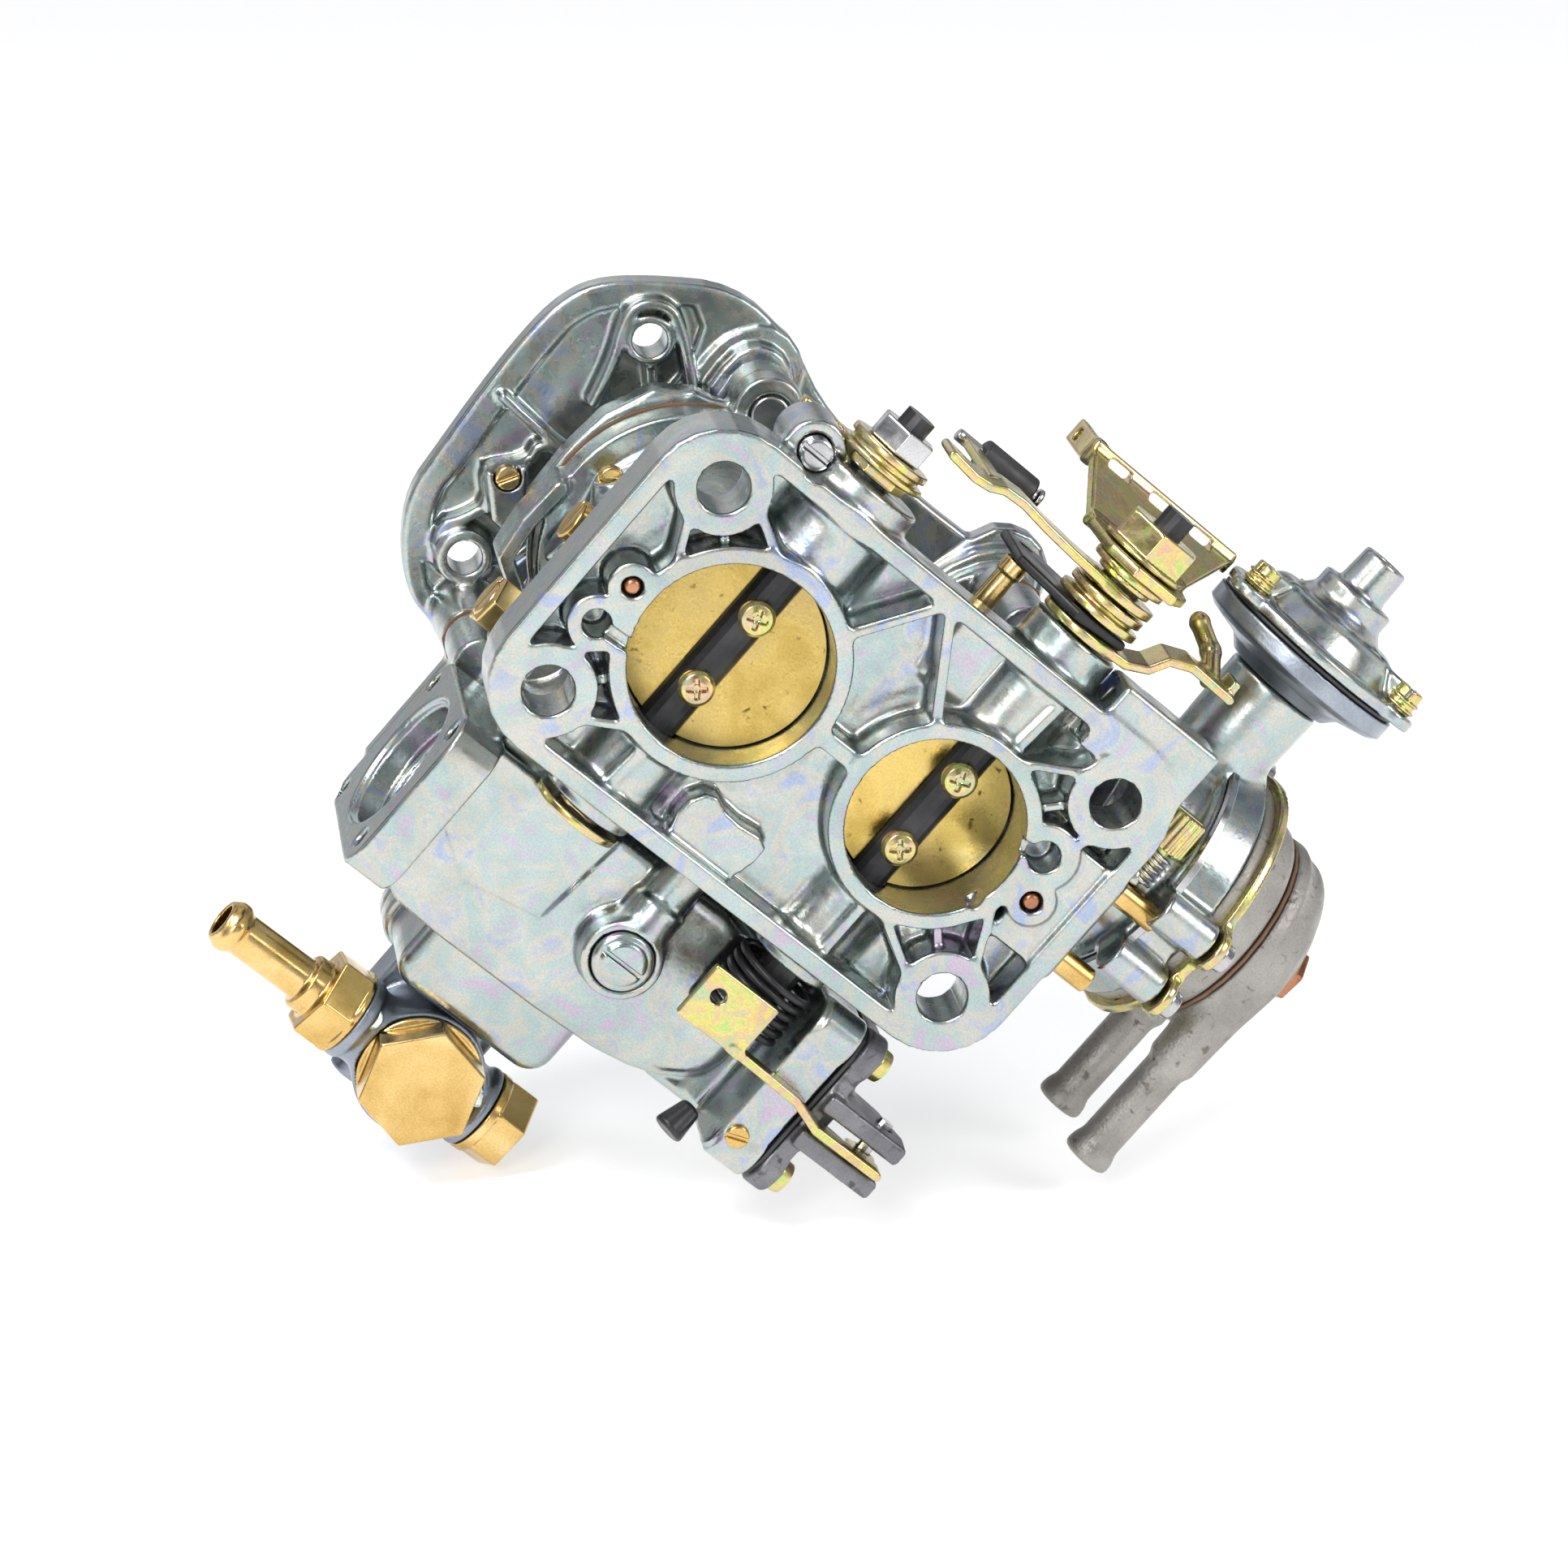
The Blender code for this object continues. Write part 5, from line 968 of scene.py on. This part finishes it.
def inlet():
    x, y, z = INLET
    unit = Casting((-24, 85, 38), (14, 116, 72), 0.45)
    unit.add(bar_z(x, y, 41.3, 68.5, 11.5, rim=1), bar_x(y, z, -20.5, 9.5, 7.5, rim=0.5), blend=2.5)
    unit.add(bar_z(x, y, 41.3, 44.2, 12.1, rim=0.6), bar_x(y, z, -20.5, -18.5, 8.2, rim=0.4),
        bar_x(y, z, 8.2, 9.5, 8.2, rim=0.4), slab(rounded(12.5, 9, 3, (x, 96.5)), "Z", 58, 68.5,
        0.8), blend=1.5)
    for sx, sz in ((-7, 55), (4, 60)):
        unit.add(bar_y(x + sx, sz, y + 5, y + 11.6, 4, 3.6, 0.5), blend=1.5)
    unit.cut(bar_z(x, y, 30, 41.6, 11.8), bar_z(x, y, 38, 62, 7), blend=0.3)
    unit.make("inlet_casting", "inlet", "casting", "fuel_inlet_block")
    hexes = [slab(polygon(6, 20.4, (x, y), 0.2), "Z", 34.3, 40.8, 0.5),
        bar_z(x, y, 40.2, 41, 11.6, rim=0.2)]
    fitting("filter_cap", "brass", "casting", ("filter_plug",), hexes,
        [spin([(10.6, 33.9), (13.2, 33.9), (13.2, 35.2)], "Z", (x, y, 0))], cell=0.25)
    pipe = [bar_x(y, z, -31.5, -20.6, 5.6, rim=0.6), slab(polygon(6, 15.8, (y, z), 0.4), "X", -28.3, -21.6,
        0.5), bar_x(y, z, -21.8, -20.8, 8.6, rim=0.2), bar_x(y, z, -50.5, -30, 4.1, rim=0.4),
        bar_x(y, z, -49.9, -46.2, 5, rim=1.6)]
    fitting("fuel_barb", "brass", "casting", ("hose_barb",), pipe, [bar_x(y, z, -52, -24, 3)], blend=0.8)
    fitting("inlet_cap", "brass", "casting", ("inlet_plug",),
        [slab(polygon(6, 14.8, (y, z), 0.1), "X", 11.6, 17.8, 0.6), bar_x(y, z, 9.9, 11.8, 8.3, rim=0.3)],
        [bar_x(y, z, 16.9, 19, 3.2)])
    for index, plug_x in enumerate((-18.6, 6.3), 1):
        seat = (plug_x, y - 0.50 * 7.1, z - 0.866 * 7.1)
        screw(f"inlet_core_plug_{index}", seat, (0, -0.50, -0.866), 2.3, 0.6, "cast", "casting", 0, "plain")


def pump():
    y, z = PUMP
    cover = Casting((42, 34, 1), (64, 76, 43), 0.4)
    cover.add(slab(rounded(17.3, 17.3, 5, (y, z)), "X", 43.3, 47, 0.6), blend=1)
    cover.add(bar_x(y, z, 46, 50.5, 12.6, 11.2, 1.2), blend=1.6)
    for corner_y, corner_z in PUMP_CORNERS:
        cover.add(bar_x(corner_y, corner_z, 43.3, 47.3, 4.4, rim=0.5), blend=1.2)
    for low in (49.6, 57.7):
        ear = [(44, 3.4), (61.6, 3.4), (62, 9.5), (57, 16), (48, 19), (44, 19)]
        cover.add(slab(ear, "Y", low, low + 3.7, 0.7), blend=1.2)
    cover.cut(bar_x(y, z, 43, 47.5, 10.5), bar_y(57, 9, 47, 63, 1.7),
        block((46, 53.2, 1), (56, 57.8, 12), 0.6), blend=0.3)
    return cover


def pump_lever():
    strip = [(23, 53.6), (39, 54.2), (45, 56.2), (59.5, 56.2)]
    fitting("pump_arm_lever", "yellow", "pump_arm", ("pump_lever",),
        [fence(strip, 1.7, 1.1, 5.1, 0.4), slab([(51, 2), (59, 2), (60, 9), (57, 12), (53, 9)], "Y", 55.4, 57,
        0.4), block((10.5, 43, 1.1), (25, 54.4, 2.9), 0.5)],
        [bar_y(57, 9, 50, 62, 1.65), bar_z(14.5, 47.5, 0, 4, 1.5)], blend=0.9)


def pulldown():
    x, z = PULLDOWN
    centre = (x, 0, z)
    lower = [(4, -54), (10.5, -54), (12.5, -56.2), (18.6, -57.8), (20, -58.8), (20, -62), (16, -62), (4, -57)]
    fitting("pulldown_back", "inlet", "casting", ("pulldown_body",), [spin(lower, "Y", centre)], cell=0.35)
    cover = Casting((41, -85, 8), (90, -62, 58), 0.4)
    cover.add(bar_y(x, z, -63.1, -65.2, 20, rim=0.5), blend=0.5)
    cover.add(bar_y(x, z, -65, -70.5, 16.6, 13, 1.5), bar_y(x, z, -69, -72.4, 10.5, 8, 0.8),
        bar_y(x, z, -72, -76.2, 7.5, rim=0.6), bar_y(x, z, -76, -83.6, 4.8, 4.5, 0.6), blend=1.2)
    ears = around(x, z, 19.5, PULLDOWN_EARS)
    for (px, pz), root in zip(ears, around(x, z, 8, PULLDOWN_EARS)):
        cover.add(bar_y(px, pz, -63.1, -65.4, 4.2, rim=0.5), blend=1.6)
        cover.add(fence([(px, pz), root], 2.2, -70, -64, 0.6, "Y"), blend=1.4)
    cover.cut(bar_y(x, z, -62.5, -68, 13.5, 10), bar_y(x, z, -82.2, -84.5, 2.6), blend=0.3)
    cover.make("pulldown_casting", "cast", "casting", "pulldown_cover")
    for index, (px, pz) in enumerate(ears, 1):
        screw(f"pulldown_screw_{index}", (px, -65.5, pz), (0, -1, 0), 2.7, 4.6, "yellow", "casting",
            35 * index, extra=[bar_z(0, 0, 0.6, 1.1, 3.2, rim=0.2),
            bar_z(0, 0, 2.1, 2.6, 3.1, rim=0.2)])
    fitting("pulldown_seal", "rubber", "casting", (), [bar_y(x, z, -62.15, -62.95, 19.6, rim=0.3)],
        [bar_y(x, z, -61, -64, 14)], cell=0.3)


def others():
    """The pump, the jacket's bolt, and the CAD nodes that are shown as they are."""
    cover = pump()
    screw("pump_passage_screw", (36, 66.5, 5.7), (0, 0, -1), 2.3, 1.2, "brass", "casting", 20)
    fitting("bowl_clip", "black", "casting", (), [bar((29, 69, 13.5), (27.5, 75, 11.5), 2, 3.2, 0.9)],
        cell=0.25)
    cover.make("pump_casting", "dark", "casting", "pump_cover")
    pump_lever()
    for index, (y, z) in enumerate(PUMP_CORNERS, 1):
        screw(f"pump_cover_screw_{index}", (47.35, y, z), (1, 0, 0), 3.3, 2.4, "yellow", "casting",
            35 * index, "cross", (f"pump_screw_{index}",))
    hexagon_nut("jacket_screw", (104, *CHOKE), (1, 0, 0), 9.4, 2.6, "copper", "casting", ("jacket_bolt",), 10,
        extra=[bar_z(0, 0, 0, 0.8, 5.8, rim=0.2)])
    keep = {"cover_gasket": "gasket", "jacket_gasket": "gasket", "booster_secondary": "cast",
        "booster_primary": "cast", "pump_diaphragm": "rubber", "pump_pin": "bright", "pump_plunger": "brass",
        "choke_shaft": "bright", "choke_flap_secondary": "plate", "choke_flap_primary": "plate",
        "choke_rod": "bright", "primary_shaft": "black", "secondary_shaft": "black", "float": "plastic",
        "float_pin": "brass", "needle_valve": "bright"}
    for node, material in keep.items():
        obj = FRAME["nodes"][node]
        obj.data.materials.clear()
        obj.data.materials.append(FINISH[material])
        weld = obj.modifiers.new("weld", "WELD")
        weld.merge_threshold = 1e-6
        soften(obj, 0.15, 32, False)


# ---- stage ----
# The camera of the photo: its right, down and forward directions, and its place in metres.
VIEW_X = Vector((0.74593826, -0.65158136, -0.13790524))
VIEW_DOWN = Vector((0.58636745, 0.74069022, -0.32795001))
VIEW_AWAY = Vector((0.31583117, 0.16376732, 0.93457527))
CAMERA = Vector((-0.28107, -0.13383, -0.82344))


def camera():
    """The photo's camera: a long lens, well back."""
    lens = bpy.data.cameras.new("camera")
    lens.lens = 117.44
    lens.sensor_width = 36
    lens.clip_start = 0.05
    lens.clip_end = 20
    obj = bpy.data.objects.new("camera", lens)
    turn = Matrix((VIEW_X, -VIEW_DOWN, -VIEW_AWAY)).transposed().to_4x4()
    obj.matrix_world = Matrix.Translation(CAMERA) @ turn
    bpy.context.scene.collection.objects.link(obj)
    bpy.context.scene.camera = obj


def floor():
    """The white table that the unit lies on, square to nothing of the unit itself."""
    lift = math.radians(18)
    normal = (-VIEW_DOWN * math.cos(lift) - VIEW_AWAY * math.sin(lift)).normalized()
    lowest = min(Vector(v.co).dot(normal) for o in FRAME["nodes"].values() for v in o.data.vertices)
    across = normal.cross(VIEW_X).normalized()
    centre = normal * (lowest - 0.0002)
    square = ((-3, -3), (3, -3), (3, 3), (-3, 3))
    corners = [tuple((centre + VIEW_X * a + across * b) / MM) for a, b in square]
    obj = mesh_object("table", corners, [[0, 1, 2, 3]])
    if obj.data.polygons[0].normal.dot(normal) < 0:
        obj.data.flip_normals()
    mat = bpy.data.materials.new("table")
    make = node_maker(mat)
    tree = mat.node_tree
    tree.nodes.remove(tree.nodes["Principled BSDF"])
    diffuse = make("BsdfDiffuse", Color=(0.86, 0.86, 0.86, 1))
    glow = make("Emission", Strength=0.50)
    lit = make("AddShader")
    tree.links.new(diffuse.outputs[0], lit.inputs[0])
    tree.links.new(glow.outputs[0], lit.inputs[1])
    clear = make("BsdfTransparent")
    mix = make("MixShader", Fac=make("NewGeometry").outputs["Backfacing"])
    tree.links.new(lit.outputs[0], mix.inputs[1])
    tree.links.new(clear.outputs[0], mix.inputs[2])
    tree.links.new(mix.outputs[0], tree.nodes["Material Output"].inputs["Surface"])
    obj.data.materials.append(mat)
    return normal


def light(name, place, size, power):
    """A soft box that looks at the middle of the unit."""
    data = bpy.data.lights.new(name, "AREA")
    data.shape = "RECTANGLE"
    data.size, data.size_y = size
    data.energy = power
    obj = bpy.data.objects.new(name, data)
    obj.location = place
    obj.rotation_euler = (Vector((0, 0, 0.04)) - place).to_track_quat("-Z", "Y").to_euler()
    bpy.context.scene.collection.objects.link(obj)


def world():
    """White behind the object, with dark and bright cards for the metal to reflect."""
    sky = bpy.data.worlds.new("studio")
    bpy.context.scene.world = sky
    make = node_maker(sky)
    coord = make("TexCoord")
    swirl = make("TexNoise", Scale=2.1, Detail=1, Vector=coord.outputs["Generated"])
    cards = ramp(make, swirl.outputs["Fac"], [(0.42, (0.04, 0.05, 0.07)), (0.60, (0.95, 0.95, 0.97))])
    path = make("LightPath")
    colour = mixed(make, path.outputs["Is Camera Ray"], cards, (1, 1, 1, 1))
    back = sky.node_tree.nodes["Background"]
    sky.node_tree.links.new(colour, back.inputs["Color"])


def studio(normal):
    up, left, near = normal, -VIEW_X, -VIEW_AWAY
    light("key", up * 0.75 + left * 0.35 + near * 0.45, (0.55, 0.40), 9)
    light("fill", up * 0.25 - left * 0.85 + near * 0.45, (0.40, 0.60), 4)
    light("front", near * 0.95 + up * 0.15 + left * 0.25, (0.35, 0.25), 3)


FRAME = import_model()


def main():
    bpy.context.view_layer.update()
    finishes()
    main_body()
    horn = air_horn()
    air_horn_ribs(horn)
    choke_unit()
    jacket()
    inlet()
    pulldown()
    plates()
    throttle_linkage()
    adjusters()
    plugs()
    others()
    camera()
    world()
    studio(floor())
    bpy.context.scene.view_settings.view_transform = "Standard"


main()
